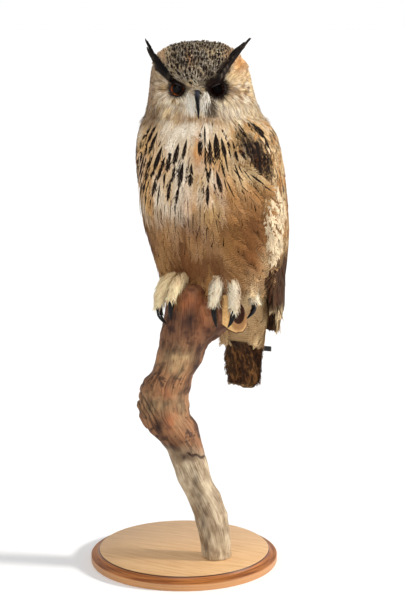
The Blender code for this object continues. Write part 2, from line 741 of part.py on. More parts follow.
def tuft_blade(name, blade):
    """A leaf-shaped bundle of feathers, broad at its middle and pointed at its tip."""
    root, middle, tip, half_width = blade
    rows = []
    for k in range(TUFT_STEPS + 1):
        t = k / TUFT_STEPS
        point = [(1 - t) ** 2 * a + 2 * t * (1 - t) * b + t**2 * c for a, b, c in zip(root, middle, tip)]
        spread = half_width * (1.0 - 0.93 * t**2.2) * min(1.0, 0.35 + 2.2 * t)
        rows.append((*point, spread, 0.45 * spread))
    return loft(name, tube_rings(rows, TUFT_SIDES, Vector((1.0, 0.0, -0.2))), TUFT_FEATHER)


def make_tuft(side):
    front, back = TUFTS[side]
    tuft = tuft_blade("owl_ear_tuft_" + side, front)
    join_into(tuft, [tuft_blade("tuft_back_" + side, back)])
    return tuft


def make_tag():
    """The small clip on the edge of the tail."""
    bm = bmesh.new()
    bmesh.ops.create_cube(bm, size=1.0)
    bmesh.ops.scale(bm, vec=TAG_SIZE, verts=bm.verts)
    bmesh.ops.rotate(bm, verts=bm.verts, matrix=Matrix.Rotation(-TAIL_YAW, 3, "Z"))
    mesh = bpy.data.meshes.new("tail_tag")
    bm.to_mesh(mesh)
    bm.free()
    tag = new_object("tail_tag", mesh, TAG_PLASTIC, PARTS)
    tag.location = TAG_CENTRE
    return tag


# ---------------------------------------------------------------- assembly
def build():
    make_base()
    branch = make_branch()
    feet = []
    all_talons = []
    for side in ("right", "left"):
        foot, talons = make_foot(side)
        all_talons += talons
        cut_back(foot, branch, *talons)
        for talon in talons:
            cut_back(talon, branch)
        feet.append(foot)
    legs = [make_leg(side) for side in ("right", "left")]
    trunk = make_trunk()
    # The trunk and the wings meet their neighbours at a grazing angle, where EXACT loses the solid.
    cut_back(trunk, *legs, solver="MANIFOLD")
    for side in ("right", "left"):
        boolean(trunk, foot_well(side), "DIFFERENCE", "MANIFOLD")
    neck = make_torso_piece("owl_neck", COLLAR, CHIN, NECK_SPACING)
    head = make_head()
    eyes = [make_eye(side) for side in ("right", "left")]
    upper_bill, lower_bill = make_bill()
    cut_back(lower_bill, upper_bill)
    cut_back(head, *eyes, upper_bill, lower_bill)
    for side in ("right", "left"):
        cut_back(make_tuft(side), head, solver="MANIFOLD")
    vent = make_vent()
    cut_back(vent, trunk, *legs, *feet, *all_talons, branch, solver="MANIFOLD")
    tail = make_tail()
    cut_back(tail, trunk, vent)
    for side in ("right", "left"):
        coverts = make_wing_piece("owl_wing_" + side, side, WING_SPLIT + GAP, WING[-1][0], WING_FEATHER)
        cut_back(coverts, trunk, neck, tail, solver="MANIFOLD")
        tip = make_wing_piece("owl_wingtip_" + side, side, WING[0][0], WING_SPLIT, WING_FEATHER)
        cut_back(tip, trunk, tail, vent, solver="MANIFOLD")
    cut_back(make_tag(), tail)


build()
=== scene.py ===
"""The looks of a mounted eagle-owl on its branch: skin, feathers, eyes, bill, claws, wood and studio.

Metres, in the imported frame: +Z up, the owl looks along -Y, and its own left wing is on the +X side.
"""

import math

import bmesh
import bpy
import numpy as np
from mathutils import Matrix, Vector
from mathutils.bvhtree import BVHTree


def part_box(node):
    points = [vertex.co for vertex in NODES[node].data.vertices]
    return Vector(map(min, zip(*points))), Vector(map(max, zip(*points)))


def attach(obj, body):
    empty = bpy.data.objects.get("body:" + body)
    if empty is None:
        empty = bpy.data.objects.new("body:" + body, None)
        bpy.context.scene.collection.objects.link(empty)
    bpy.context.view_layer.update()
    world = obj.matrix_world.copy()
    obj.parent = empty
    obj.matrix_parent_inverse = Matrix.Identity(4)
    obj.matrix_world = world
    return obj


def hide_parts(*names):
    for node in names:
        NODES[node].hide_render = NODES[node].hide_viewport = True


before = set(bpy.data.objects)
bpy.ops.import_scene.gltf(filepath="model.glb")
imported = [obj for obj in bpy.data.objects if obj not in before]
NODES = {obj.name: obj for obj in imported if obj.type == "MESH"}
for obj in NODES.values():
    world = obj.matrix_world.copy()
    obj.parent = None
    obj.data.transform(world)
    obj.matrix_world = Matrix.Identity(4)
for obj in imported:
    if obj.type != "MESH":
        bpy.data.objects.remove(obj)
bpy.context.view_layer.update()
SEED = 11
random = np.random.default_rng(SEED)     # made anew for each coat, so that each keeps its own draws


def low_corner(node):
    return np.array(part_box(node)[0])


def high_corner(node):
    return np.array(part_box(node)[1])


def middle(node):
    return (low_corner(node) + high_corner(node)) / 2


SIDES = ("right", "left")
EYE = {side: middle("owl_eye_" + side) for side in SIDES}
EYE_RADIUS = (high_corner("owl_eye_left")[0] - low_corner("owl_eye_left")[0]) / 2
FACE_X = (EYE["left"][0] + EYE["right"][0]) / 2
EYE_Z = EYE["left"][2]
BILL_ROOT = np.array((middle("owl_bill_upper")[0], low_corner("owl_bill_upper")[1] + 0.020, EYE_Z - 0.004))
CHIN = low_corner("owl_head")[2]
CROWN = high_corner("owl_head")[2]
COLLAR = low_corner("owl_neck")[2]
SKIRT = low_corner("owl_trunk")[2]
WING_END = low_corner("owl_wingtip_left")[2]
WING_SPLIT = low_corner("owl_wing_left")[2]
TAIL_END = low_corner("owl_tail")[2]
BASE_TOP = high_corner("base_plinth")[2]
HEAD_CENTRE = np.array((FACE_X + 0.005, 0.0, CHIN + 0.060))

# The body's axis, read at any height: height, X, Y.
AXIS = np.array(
    (
        (TAIL_END, *middle("owl_tail")[:2]),
        (SKIRT - 0.060, *middle("owl_undertail")[:2]),
        (SKIRT + 0.060, *middle("owl_trunk")[:2]),
        (COLLAR, *middle("owl_neck")[:2]),
        (EYE_Z, *middle("owl_head")[:2]),
    )
)

# The flesh nodes: how deep under each the skin lies, and the zone whose markings it has.
FLESH_ZONES = {
    "owl_trunk": (0.0060, "body"),
    "owl_neck": (0.0055, "body"),
    "owl_head": (0.0035, "head"),
    "owl_leg_left": (0.0040, "body"),
    "owl_leg_right": (0.0040, "body"),
    "owl_wing_left": (0.0040, "wing"),
    "owl_wing_right": (0.0040, "wing"),
    "owl_wingtip_left": (0.0030, "wing"),
    "owl_wingtip_right": (0.0030, "wing"),
    "owl_tail": (0.0022, "tail"),
    "owl_undertail": (0.0040, "vent"),
    "owl_foot_left": (0.0020, "foot"),
    "owl_foot_right": (0.0020, "foot"),
}
FLESH = list(FLESH_ZONES)
SKIN_VOXEL = 0.0030
SKIN_SMOOTHING = 8
THIN_SMOOTHING = 0.35        # how much of the smoothing the tail and the feet take
SKIN_SHADE = 0.80            # the skin is darker than the coat over it


# ---- colours
def srgb(red, green, blue):
    """A colour given as display values of 0 to 255, as the linear values that a shader takes."""
    shown = np.array((red, green, blue)) / 255
    return np.where(shown <= 0.04045, shown / 12.92, ((shown + 0.055) / 1.055) ** 2.4)


WHITE = srgb(245, 238, 222)
CREAM = srgb(236, 212, 168)
BUFF = srgb(208, 172, 120)
DOWN = srgb(252, 228, 182)
ORANGE = srgb(208, 144, 78)
TAN = srgb(158, 114, 66)
BROWN = srgb(102, 62, 33)
RUST = srgb(146, 90, 42)
UMBER = srgb(62, 36, 22)
BLACK = srgb(24, 14, 9)
GREY = srgb(158, 144, 124)


# ---- numbers over space
def smooth(low, high, value):
    """0 below low, 1 above high, and an eased step between them; low may be the greater."""
    t = np.clip((value - low) / (high - low), 0.0, 1.0)
    return t * t * (3 - 2 * t)


def lattice(cells, seed):
    """A repeatable value of 0 to 1 for each cell of whole numbers."""
    mixed = cells[:, 0] * 374761393 + cells[:, 1] * 668265263 + cells[:, 2] * 1440670441 + seed * 97471
    mixed = (mixed & 0xFFFFFFFF) ^ ((mixed & 0xFFFFFFFF) >> 13)
    mixed = (mixed * 1274126177) & 0xFFFFFFFF
    return ((mixed ^ (mixed >> 16)) & 0xFFFF) / 65535.0


def noise(points, size, seed=0):
    """Smooth noise of 0 to 1 whose lumps are about size across."""
    scaled = points / size
    cells = np.floor(scaled).astype(np.int64)
    part = scaled - cells
    part = part * part * (3 - 2 * part)
    total = np.zeros(len(points))
    for corner in ((i, j, k) for i in (0, 1) for j in (0, 1) for k in (0, 1)):
        weight = np.prod(np.where(corner, part, 1 - part), axis=1)
        total += weight * lattice(cells + corner, seed)
    return total


def blob(points, x, z, half_width, half_height):
    """1 at a place in X and Z, falling off smoothly over the two half sizes."""
    return np.exp(-(((points[:, 0] - x) / half_width) ** 2) - ((points[:, 2] - z) / half_height) ** 2)


def blend(colours, other, share):
    """One colour or many, blended towards another by one share or by one for each point."""
    return colours + (other - colours) * np.asarray(share)[..., None]


def unit(vectors):
    return vectors / np.maximum(np.linalg.norm(vectors, axis=-1, keepdims=True), 1e-9)


def axis_at(heights):
    return np.stack([np.interp(heights, AXIS[:, 0], AXIS[:, k]) for k in (1, 2)], axis=1)


def facing_front(points):
    """1 on the front of the body, 0 at its sides, -1 on its back."""
    away = points[:, :2] - axis_at(points[:, 2])
    return -away[:, 1] / np.maximum(np.linalg.norm(away, axis=1), 1e-6)


# ---- meshes
def add_object(name, mesh, material=None):
    if material is not None:
        mesh.materials.append(material)
    obj = bpy.data.objects.new(name, mesh)
    bpy.context.scene.collection.objects.link(obj)
    return obj


def mesh_object(name, points, faces, material):
    mesh = bpy.data.meshes.new(name)
    mesh.from_pydata([tuple(p) for p in points], [], faces)
    mesh.validate()
    mesh.shade_smooth()
    return add_object(name, mesh, material)


def array_mesh(name, points, quads):
    """A mesh straight from arrays of points and four-cornered faces."""
    mesh = bpy.data.meshes.new(name)
    mesh.vertices.add(len(points))
    mesh.vertices.foreach_set("co", points.astype(np.float32).ravel())
    mesh.loops.add(quads.size)
    mesh.loops.foreach_set("vertex_index", quads.astype(np.int32).ravel())
    mesh.polygons.add(len(quads))
    mesh.polygons.foreach_set("loop_start", np.arange(0, quads.size, 4, dtype=np.int32))
    mesh.update(calc_edges=True)
    return mesh


ATTRIBUTE_FIELDS = {"FLOAT_COLOR": "color", "FLOAT_VECTOR": "vector", "FLOAT": "value"}


def add_attribute(mesh, name, values, kind="FLOAT_VECTOR"):
    layer = mesh.attributes.new(name, kind, "POINT")
    layer.data.foreach_set(ATTRIBUTE_FIELDS[kind], np.ascontiguousarray(values, dtype=np.float32).ravel())


def add_plumage_layers(mesh, tone, vane, marks):
    """The three layers that the plumage material reads."""
    add_attribute(mesh, "tone", np.column_stack([tone, np.ones(len(tone))]), "FLOAT_COLOR")
    add_attribute(mesh, "vane", vane)
    add_attribute(mesh, "marks", marks)


def values_of(collection, field, width, kind=np.float32):
    values = np.empty(len(collection) * width, kind)
    collection.foreach_get(field, values)
    return values.reshape(-1, width)


def points_of(mesh):
    return values_of(mesh.vertices, "co", 3).astype(float)


def normals_of(mesh):
    return values_of(mesh.vertex_normals, "vector", 3).astype(float)


def edges_of(mesh):
    return values_of(mesh.edges, "vertices", 2, np.int32)


def set_points(mesh, points):
    mesh.vertices.foreach_set("co", points.astype(np.float32).ravel())
    mesh.update()


def relaxed(values, edges, rounds, share=0.6):
    """Values at points, each drawn towards its neighbours' mean."""
    values = values.reshape(len(values), -1).astype(float)
    count = np.bincount(edges.ravel(), minlength=len(values)).astype(float)[:, None]
    for _ in range(rounds):
        total = np.zeros_like(values)
        for column in range(values.shape[1]):
            for end, other in ((0, 1), (1, 0)):
                total[:, column] += np.bincount(edges[:, end], values[edges[:, other], column], len(values))
        values += (total / np.maximum(count, 1) - values) * share
    return values


def joined_copy(nodes):
    """The CAD nodes' surfaces in one mesh, and for each face the number of its node."""
    joined = bmesh.new()
    owners = []
    for index, node in enumerate(nodes):
        joined.from_mesh(NODES[node].data)
        owners += [index] * (len(joined.faces) - len(owners))
    return joined, np.array(owners)


def remeshed(name, nodes, voxel):
    """One closed object over several CAD nodes, as an even net of small faces."""
    joined, _ = joined_copy(nodes)
    bmesh.ops.remove_doubles(joined, verts=joined.verts, dist=1e-5)
    mesh = bpy.data.meshes.new(name)
    joined.to_mesh(mesh)
    joined.free()
    obj = add_object(name, mesh)
    remesh = obj.modifiers.new("even_net", "REMESH")
    remesh.mode = "VOXEL"
    remesh.voxel_size = voxel
    evaluated = obj.evaluated_get(bpy.context.evaluated_depsgraph_get())
    result = bpy.data.meshes.new_from_object(evaluated)
    obj.modifiers.clear()
    obj.data = result
    result.shade_smooth()
    return obj


def mount(piece, slot, *nodes):
    """Fixes a finished piece to the part's one body, in place of the CAD nodes named, which it hides; the
    slot is not used.
    """
    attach(piece, "root")
    if nodes:
        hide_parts(*nodes)


# ---- materials
class Graph:
    """Short names for building the nodes of one material, or of the sky."""

    def __init__(self, owner, shader, settings):
        owner.use_nodes = True
        self.owner = owner
        self.tree = owner.node_tree
        self.shader = self.tree.nodes[shader]
        for socket, value in settings.items():
            self.shader.inputs[socket.replace("_", " ")].default_value = value

    def node(self, kind, inputs=None, **properties):
        node = self.tree.nodes.new(kind)
        for key, value in properties.items():
            setattr(node, key, value)
        for socket, value in (inputs or {}).items():
            self.feed(node.inputs[socket], value)
        return node

    def feed(self, socket, value):
        if isinstance(value, bpy.types.NodeSocket):
            self.tree.links.new(value, socket)
        elif isinstance(value, np.ndarray):
            socket.default_value = (*value, 1.0)
        else:
            socket.default_value = value

    def attribute(self, name, output="Vector"):
        return self.node("ShaderNodeAttribute", attribute_name=name).outputs[output]

    def place(self, scale=(1.0, 1.0, 1.0), space="Object"):
        source = self.node("ShaderNodeTexCoord").outputs[space]
        return self.node("ShaderNodeMapping", {"Vector": source, "Scale": scale}).outputs[0]

    def split(self, vector):
        return self.node("ShaderNodeSeparateXYZ", {0: vector}).outputs

    def join(self, x, y, z):
        return self.node("ShaderNodeCombineXYZ", {0: x, 1: y, 2: z}).outputs[0]

    def math(self, operation, first, second=0.0, third=0.0):
        return self.node("ShaderNodeMath", {0: first, 1: second, 2: third}, operation=operation).outputs[0]

    def times(self, first, second, plus=0.0):
        return self.math("MULTIPLY_ADD", first, second, plus)

    def noise(self, vector, scale, detail=3.0):
        inputs = {"Vector": vector, "Scale": scale, "Detail": detail, "Roughness": 0.55}
        return self.node("ShaderNodeTexNoise", inputs).outputs["Fac"]

    def step(self, value, low, high, start=0.0, end=1.0):
        inputs = {"Value": value, "From Min": low, "From Max": high, "To Min": start, "To Max": end}
        return self.node("ShaderNodeMapRange", inputs, interpolation_type="SMOOTHSTEP").outputs["Result"]

    def mix(self, share, first, second, blend_type="MIX"):
        inputs = {"Factor": share, "A": first, "B": second}
        node = self.node("ShaderNodeMix", data_type="RGBA", blend_type=blend_type)
        for socket in node.inputs:
            if socket.enabled and socket.name in inputs:
                self.feed(socket, inputs[socket.name])
        return next(socket for socket in node.outputs if socket.enabled)

    def layered(self, colour, *layers):
        """Lays colours over a first one, each where a value passes from low to high, up to a strength."""
        for other, value, low, high, strength in layers:
            colour = self.mix(self.step(value, low, high, 0.0, strength), colour, other)
        return colour

    def bump(self, height, distance, strength):
        inputs = {"Height": height, "Distance": distance, "Strength": strength}
        self.feed(self.shader.inputs["Normal"], self.node("ShaderNodeBump", inputs).outputs[0])

    def finish(self, value, socket="Base Color"):
        self.feed(self.shader.inputs[socket], value)
        return self.owner


def material_graph(name, **settings):
    """A new material's graph, with constants for its shader's sockets."""
    return Graph(bpy.data.materials.new(name), "Principled BSDF", settings)


HAIR_SHADE = np.array((0.50, 0.42, 0.34))


def plumage_material(name, bar_colour, streak_colour):
    """Feathers and skin: a tone, then cross bars, dark blotches and a dark streak along the shaft.

    The meshes give tone, vane (distance along in metres, distance across as a share, a number for each
    feather) and marks (half width of the streak, strength of the bars, strength of the blotches).
    """
    graph = material_graph(name, Roughness=0.80, Specular_IOR_Level=0.12)
    along, across, number = graph.split(graph.attribute("vane"))
    streak, bars, blotch = graph.split(graph.attribute("marks"))
    side = graph.math("ABSOLUTE", across)
    place = graph.place()
    hairs = graph.noise(graph.join(graph.times(along, 900), graph.times(across, 2.5), number), 1.0)
    tone = graph.attribute("tone", "Color")
    colour = graph.mix(graph.step(hairs, 0.30, 0.70, 0.0, 0.75), tone, HAIR_SHADE, "MULTIPLY")
    waver = graph.times(graph.noise(place, 130.0), 9.0)
    phase = graph.times(along, 1350.0, graph.times(side, -3.0, waver))
    wave = graph.math("SINE", graph.math("ADD", phase, number))
    broken = graph.times(bars, graph.step(graph.noise(place, 55.0, 2.0), 0.36, 0.62, 0.35, 1.0))
    colour = graph.mix(graph.times(graph.step(wave, -0.5, 0.9), broken), colour, bar_colour)
    patches = graph.noise(graph.join(graph.times(along, 75), across, number), 1.6, 2.0)
    colour = graph.mix(graph.times(graph.step(patches, 0.42, 0.54), blotch), colour, streak_colour)
    ragged = graph.times(graph.noise(place, 420.0, 2.0), 0.20, -0.10)
    edge = graph.math("SUBTRACT", streak, graph.math("ADD", side, ragged))
    return graph.finish(graph.layered(colour, (streak_colour, edge, -0.04, 0.10, 1.0)))


PLUMAGE = plumage_material("plumage", srgb(92, 56, 28), srgb(22, 11, 6))
SKIN_FINISH = plumage_material("feathered_skin", srgb(80, 50, 26), srgb(22, 11, 6))


# ---- markings, shared by skin and coat
# Soft spots of colour: colour, strength, X from the middle of the face, Z, half width and half height.
BREAST_SPOTS = (
    (WHITE, 0.95, -0.022, COLLAR + 0.022, 0.040, 0.017),
    (WHITE, 0.90, 0.022, COLLAR + 0.028, 0.022, 0.014),
    (WHITE, 0.65, -0.030, COLLAR - 0.045, 0.022, 0.055),
    (ORANGE, 0.95, 0.0005, COLLAR - 0.014, 0.0062, 0.036),
    (ORANGE, 0.60, -0.098, COLLAR - 0.050, 0.012, 0.030),
    (BROWN, 0.80, -0.010, SKIRT + 0.028, 0.026, 0.026),
    (BROWN, 0.50, 0.085, SKIRT + 0.050, 0.022, 0.042),
    (RUST, 0.80, 0.104, SKIRT + 0.064, 0.013, 0.050),
    (CREAM, 0.90, 0.128, SKIRT + 0.090, 0.012, 0.080),
)
FLANK_SPOTS = (
    (BROWN, 0.85, 0.100, 0.655, 0.034, 0.044),
    (CREAM, 0.75, 0.096, 0.758, 0.030, 0.012),
    (CREAM, 0.85, 0.102, SKIRT - 0.030, 0.016, 0.036),
)
FACE_SPOTS = (
    (UMBER, 0.85, -0.074, EYE_Z - 0.051, 0.009, 0.0055),
    (WHITE, 0.85, -0.013, EYE_Z - 0.024, 0.0090, 0.018),
    (WHITE, 0.35, 0.050, EYE_Z - 0.040, 0.034, 0.020),
    (GREY, 0.60, -0.060, EYE_Z + 0.024, 0.020, 0.016),
)
HEAD_SPOTS = (
    (ORANGE, 0.85, 0.074, EYE_Z + 0.046, 0.014, 0.018),
    (ORANGE, 0.60, -0.062, EYE_Z + 0.060, 0.010, 0.018),
    (ORANGE, 0.60, 0.054, EYE_Z + 0.062, 0.008, 0.018),
    (ORANGE, 0.75, -0.015, EYE_Z + 0.054, 0.006, 0.012),
    (CREAM, 0.90, 0.066, EYE_Z + 0.022, 0.014, 0.0085),
    (BROWN, 0.75, 0.066, EYE_Z - 0.004, 0.012, 0.009),
    (TAN, 0.30, 0.072, EYE_Z + 0.034, 0.024, 0.028),
)
EYE_CORNERS_AND_SHADE = (              # black beside the bill: dark feathers, with painted shade from the brow beside the left eye
    (BLACK, 0.95, 0.016, EYE_Z + 0.003, 0.0090, 0.0080),
    (BLACK, 0.95, 0.021, EYE_Z + 0.010, 0.0110, 0.0070),
    (BLACK, 0.95, 0.027, EYE_Z + 0.016, 0.0100, 0.0075),
    (BLACK, 0.95, -0.021, EYE_Z + 0.001, 0.0075, 0.0070),
)
WING_SPOTS = (
    (CREAM, 0.90, 0.130, 0.655, 0.016, 0.066),
    (CREAM, 0.80, 0.106, 0.838, 0.032, 0.024),
)
# Mottles of the face: colour, strength, the noise's low and high limits, its size and its seed.
FACE_MOTTLES = (
    (GREY, 0.45, 0.35, 0.75, 0.016, 5),
    (BUFF, 0.45, 0.45, 0.75, 0.012, 7),
    (WHITE, 0.60, 0.50, 0.66, 0.0060, 18),
    (BROWN, 0.75, 0.54, 0.66, 0.0042, 17),
)
EYE_RINGS_AND_SHADE = (("right", 0.0165, 0.97), ("left", 0.0215, 1.0))     # black round each eye: radius and strength; the eyes' own dark rims, widened round the left eye by painted shade from the brow
BROW_FEATHERS = 150
BROWS = {                    # the black band from over each eye to the foot of its tuft, in X and Z
    "right": ((-0.0040, 0.9180), (-0.0420, 0.9470)),
    "left": ((0.0600, 0.9180), (0.0800, 0.9530)),
}
SCAPULAR = (0.1330, 0.7930)  # X and Z of the dark shoulder patch


def spotted(tone, points, spots):
    for colour, strength, x, z, half_width, half_height in spots:
        tone = blend(tone, colour, strength * blob(points, FACE_X + x, z, half_width, half_height))
    return tone


def mottled(tone, points, colour, strength, low, high, size, seed, squash=1.0):
    """Blends a colour in where noise rises from low to high; a squash below 1 draws it out in height."""
    return blend(tone, colour, strength * smooth(low, high, noise(points * (1, 1, squash), size, seed)))


def scapular(points):
    """1 over the dark shoulder patch: a lens that slants down and outwards on the left wing."""
    x = points[:, 0] - SCAPULAR[0]
    z = points[:, 2] - SCAPULAR[1]
    along = (0.55 * x - 0.835 * z) / 0.047
    across = (0.835 * x + 0.55 * z) / 0.0160
    return smooth(1.15, 0.85, np.hypot(along, across)) * (points[:, 1] < 0.04)


def nape_tone(points):
    """Buff and brown down the back of the head and the mantle, darker towards the tail."""
    tone = mottled(BROWN, points, BUFF, 0.9, 0.38, 0.62, 0.009, 2, 0.45)
    lower = smooth(COLLAR + 0.02, COLLAR - 0.10, points[:, 2])
    return blend(tone, UMBER, 0.65 * lower * noise(points, 0.030, 1))


def body_tone(points):
    """Buff and white over the breast, tan on the belly, brown and buff on the back."""
    x, _, z = points.T
    broad = noise(points, 0.030, 1)
    fine = noise(points * (1, 1, 0.35), 0.010, 2)
    belly = smooth(0.720, 0.640, z)
    tone = blend(BUFF, WHITE, 0.75 * smooth(0.38, 0.68, 0.55 * broad + 0.45 * fine))
    tone = mottled(tone, points, ORANGE, 0.55 * smooth(0.60, 0.70, z), 0.58, 0.80, 0.022, 3)
    tone = blend(tone, TAN, belly * (0.75 + 0.25 * broad))
    tone = mottled(tone, points, BROWN, 0.80 * belly, 0.42, 0.68, 0.026, 4, 0.5)
    tone = spotted(tone, points, BREAST_SPOTS)
    side = smooth(FACE_X + 0.035, FACE_X + 0.060, x)
    tone = blend(tone, BUFF, 0.85 * side * smooth(0.800, 0.770, z) * smooth(0.700, 0.745, z))
    tone = blend(tone, TAN, 0.92 * side * smooth(0.765, 0.720, z) * smooth(0.600, 0.640, z))
    tone = spotted(tone, points, FLANK_SPOTS)
    tone = blend(tone, UMBER * 0.65, 0.9 * scapular(points))
    return blend(nape_tone(points), tone, smooth(-0.35, 0.25, facing_front(points)))


def body_marks(points):
    """Bold streaks on the breast, thin ones lower and on the flanks, and fine bars over the belly."""
    x, _, z = points.T
    front = smooth(-0.35, 0.25, facing_front(points))
    rear = 1 - front
    throat = blob(points, FACE_X - 0.015, COLLAR + 0.024, 0.044, 0.017)
    bold = 0.51 * smooth(0.690, 0.750, z) + 0.13 * smooth(0.590, 0.66, z)
    flank = smooth(FACE_X + 0.034, FACE_X + 0.050, x) * smooth(COLLAR - 0.006, COLLAR - 0.026, z)
    streak = bold * (1 - 0.85 * throat) * (1 - 0.68 * flank) * front + 0.50 * rear
    bars = 0.50 * smooth(0.715, 0.635, z) * front + 0.30 * flank * front + 0.35 * rear
    blotch = np.maximum(0.55 * rear, 0.9 * scapular(points))
    return np.stack([streak, np.clip(bars, 0, 0.75), blotch], axis=1)


def brow_line(x):
    """The height of the brow's V over a place across the face."""
    return EYE_Z - 0.003 + 0.60 * np.abs(x - FACE_X)


def tuft_root_shade(points):
    """The black at the foot of each ear tuft, along the brow from over the eye upwards."""
    nearest = np.full(len(points), 9.0)
    for start, end in BROWS.values():
        start, end = np.array(start), np.array(end)
        place = points[:, [0, 2]] - start
        share = np.clip(place @ (end - start) / ((end - start) @ (end - start)), 0, 1)
        nearest = np.minimum(nearest, np.linalg.norm(place - share[:, None] * (end - start), axis=1))
    return smooth(0.0085, 0.0055, nearest) * (points[:, 1] < 0.0)


def face_tone(points):
    """The face below the brow: mottled cream and white, darker at its lower edge and its right rim."""
    x, _, z = points.T
    face = CREAM
    for mottle in FACE_MOTTLES:
        face = mottled(face, points, *mottle)
    face = blend(face, BROWN, 0.55 * smooth(FACE_X - 0.062, FACE_X - 0.082, x))
    face = spotted(face, points, FACE_SPOTS)
    chin = smooth(EYE_Z - 0.040, EYE_Z - 0.052, z) * smooth(0.052, 0.030, np.abs(x - FACE_X))
    return blend(face, TAN, 0.50 * chin)


def head_tone(points):
    """Mottled grey crown, pale face with dark round the eyes, buff behind the tufts."""
    x, y, z = points.T
    mottle = 0.5 * noise(points, 0.016, 5) + 0.5 * noise(points, 0.0045, 6)
    tone = blend(GREY, CREAM, smooth(0.30, 0.70, mottle))
    tone = mottled(tone, points, WHITE, 0.50, 0.46, 0.62, 0.0075, 19)
    tone = blend(tone, UMBER, 0.10)
    sides = smooth(0.040, 0.054, np.abs(x - FACE_X)) * smooth(EYE_Z + 0.010, EYE_Z + 0.024, z)
    tone = blend(tone, blend(CREAM, WHITE, 0.4), 0.85 * sides)
    tone = blend(face_tone(points), tone, smooth(-0.002, 0.008, z - brow_line(x)))
    tone = spotted(tone, points, HEAD_SPOTS)
    rear = smooth(0.015, 0.050, y) * smooth(CROWN - 0.010, CROWN - 0.045, z)
    tone = blend(tone, nape_tone(points), rear)
    for side, reach, strength in EYE_RINGS_AND_SHADE:
        distance = np.hypot(x - EYE[side][0], z - EYE[side][2])
        tone = blend(tone, BLACK, strength * smooth(reach + 0.005, reach - 0.002, distance) * (y < -0.02))
    tone = spotted(tone, points, EYE_CORNERS_AND_SHADE)
    return blend(tone, BLACK, tuft_root_shade(points))


def head_marks(points):
    x, y, z = points.T
    sides = smooth(0.046, 0.062, np.abs(x - FACE_X)) * smooth(0.070, 0.040, y)
    over = smooth(0.002, 0.007, z - brow_line(x)) * (1 - 0.80 * sides)
    over = np.maximum(over, 0.75 * smooth(0.030, 0.060, y))
    return np.stack([0.88 * over, 0.15 + 0.10 * over, 0.70 * over], axis=1)


def wing_tone(points):
    """Dark brown with buff, an ochre band down the outer side and cream where the flank's fluff laps over."""
    x, y, z = points.T
    broad = noise(points, 0.020, 8)
    seen = smooth(0.075, 0.045, y)
    tone = mottled(BROWN, points, BUFF, 0.80, 0.38, 0.62, 0.010, 8, 0.5)
    outer = smooth(FACE_X + 0.128, FACE_X + 0.142, x) * smooth(0.590, 0.640, z) * seen
    tone = blend(tone, ORANGE, 0.50 * outer)
    tone = blend(tone, CREAM, 0.75 * outer * smooth(0.40, 0.55, broad))
    tone = spotted(tone, points, WING_SPOTS)
    specks = smooth(0.60, 0.68, noise(points * (1, 1, 0.6), 0.0060, 16))
    tone = blend(tone, UMBER * 0.65, 0.90 * scapular(points) * (1 - 0.8 * specks))
    lowered = 0.75 * smooth(0.69, 0.53, z + 0.10 * (broad - 0.5))
    ragged = z + 0.050 * (noise(points * (1, 1, 0.25), 0.0085, 21) - 0.5)
    tone = blend(tone, UMBER, lowered + (0.92 * smooth(0.620, 0.580, ragged) - lowered) * seen)
    return blend(tone, CREAM, 0.95 * smooth(0.500, 0.486, z + 0.4 * (ragged - z)) * seen)


def wing_marks(points):
    x, y, z = points.T
    dark = scapular(points)
    pale = blob(points, FACE_X + 0.106, 0.838, 0.032, 0.024)
    outer = smooth(FACE_X + 0.126, FACE_X + 0.142, x) * smooth(0.075, 0.045, y)
    fluff = blob(points, FACE_X + 0.124, 0.665, 0.014, 0.065)
    blotch = np.clip(0.50 + 0.45 * dark - 0.36 * outer - 0.25 * pale, 0, 1) * (1 - 0.9 * fluff)
    streak = 0.22 + 0.30 * dark + 0.26 * smooth(0.0, 0.04, y)
    bars = 0.35 + 0.15 * smooth(0.500, 0.488, z)
    return np.stack([streak * (1 - fluff), bars, blotch * smooth(0.480, 0.500, z)], axis=1)


def vent_tone(points):
    tone = blend(BUFF, CREAM, noise(points, 0.020, 9))
    tone = mottled(tone, points, RUST, 0.22, 0.35, 0.65, 0.014, 29)
    return blend(tone, WHITE, 0.8 * smooth(FACE_X + 0.045, FACE_X + 0.030, points[:, 0]))


def tail_tone(points):
    tone = mottled(UMBER, points, TAN, 0.62, 0.30, 0.70, 0.013, 10)
    return blend(tone, BUFF, 0.85 * smooth(TAIL_END + 0.016, TAIL_END + 0.006, points[:, 2]))


def foot_tone(points):
    white = 0.10 + 0.55 * smooth(FACE_X - 0.010, FACE_X + 0.010, points[:, 0])
    tone = blend(DOWN, WHITE, white * (0.6 + 0.8 * noise(points, 0.008, 12)))
    tone = blend(tone, BUFF, 0.40 * smooth(0.550, 0.568, points[:, 2]))
    return blend(tone, TAN, 0.55 * blob(points, FACE_X + 0.078, 0.530, 0.007, 0.034))


def tuft_tone(points):
    return mottled(BLACK * 0.7, points, GREY, 0.35, 0.66, 0.88, 0.005, 14, 0.3)


def even_marks(*marks):
    """Marks that are the same everywhere: streak, bars and blotches."""
    return lambda points: np.tile(marks, (len(points), 1))


ZONES = {                    # the tone and the marks of each zone
    "body": (body_tone, body_marks),
    "head": (head_tone, head_marks),
    "wing": (wing_tone, wing_marks),
    "tail": (tail_tone, even_marks(0.0, 0.60, 0.80)),
    "vent": (vent_tone, even_marks(0.03, 0.48, 0.0)),
    "foot": (foot_tone, even_marks(0.0, 0.05, 0.0)),
    "tuft": (tuft_tone, even_marks(0.0, 0.0, 0.3)),
}


# ---- skin
def owners_of(points):
    """The number of the flesh node that each point is nearest to."""
    joined, owners = joined_copy(FLESH)
    tree = BVHTree.FromBMesh(joined)
    joined.free()
    return np.array([owners[tree.find_nearest(point)[2]] for point in points.tolist()])


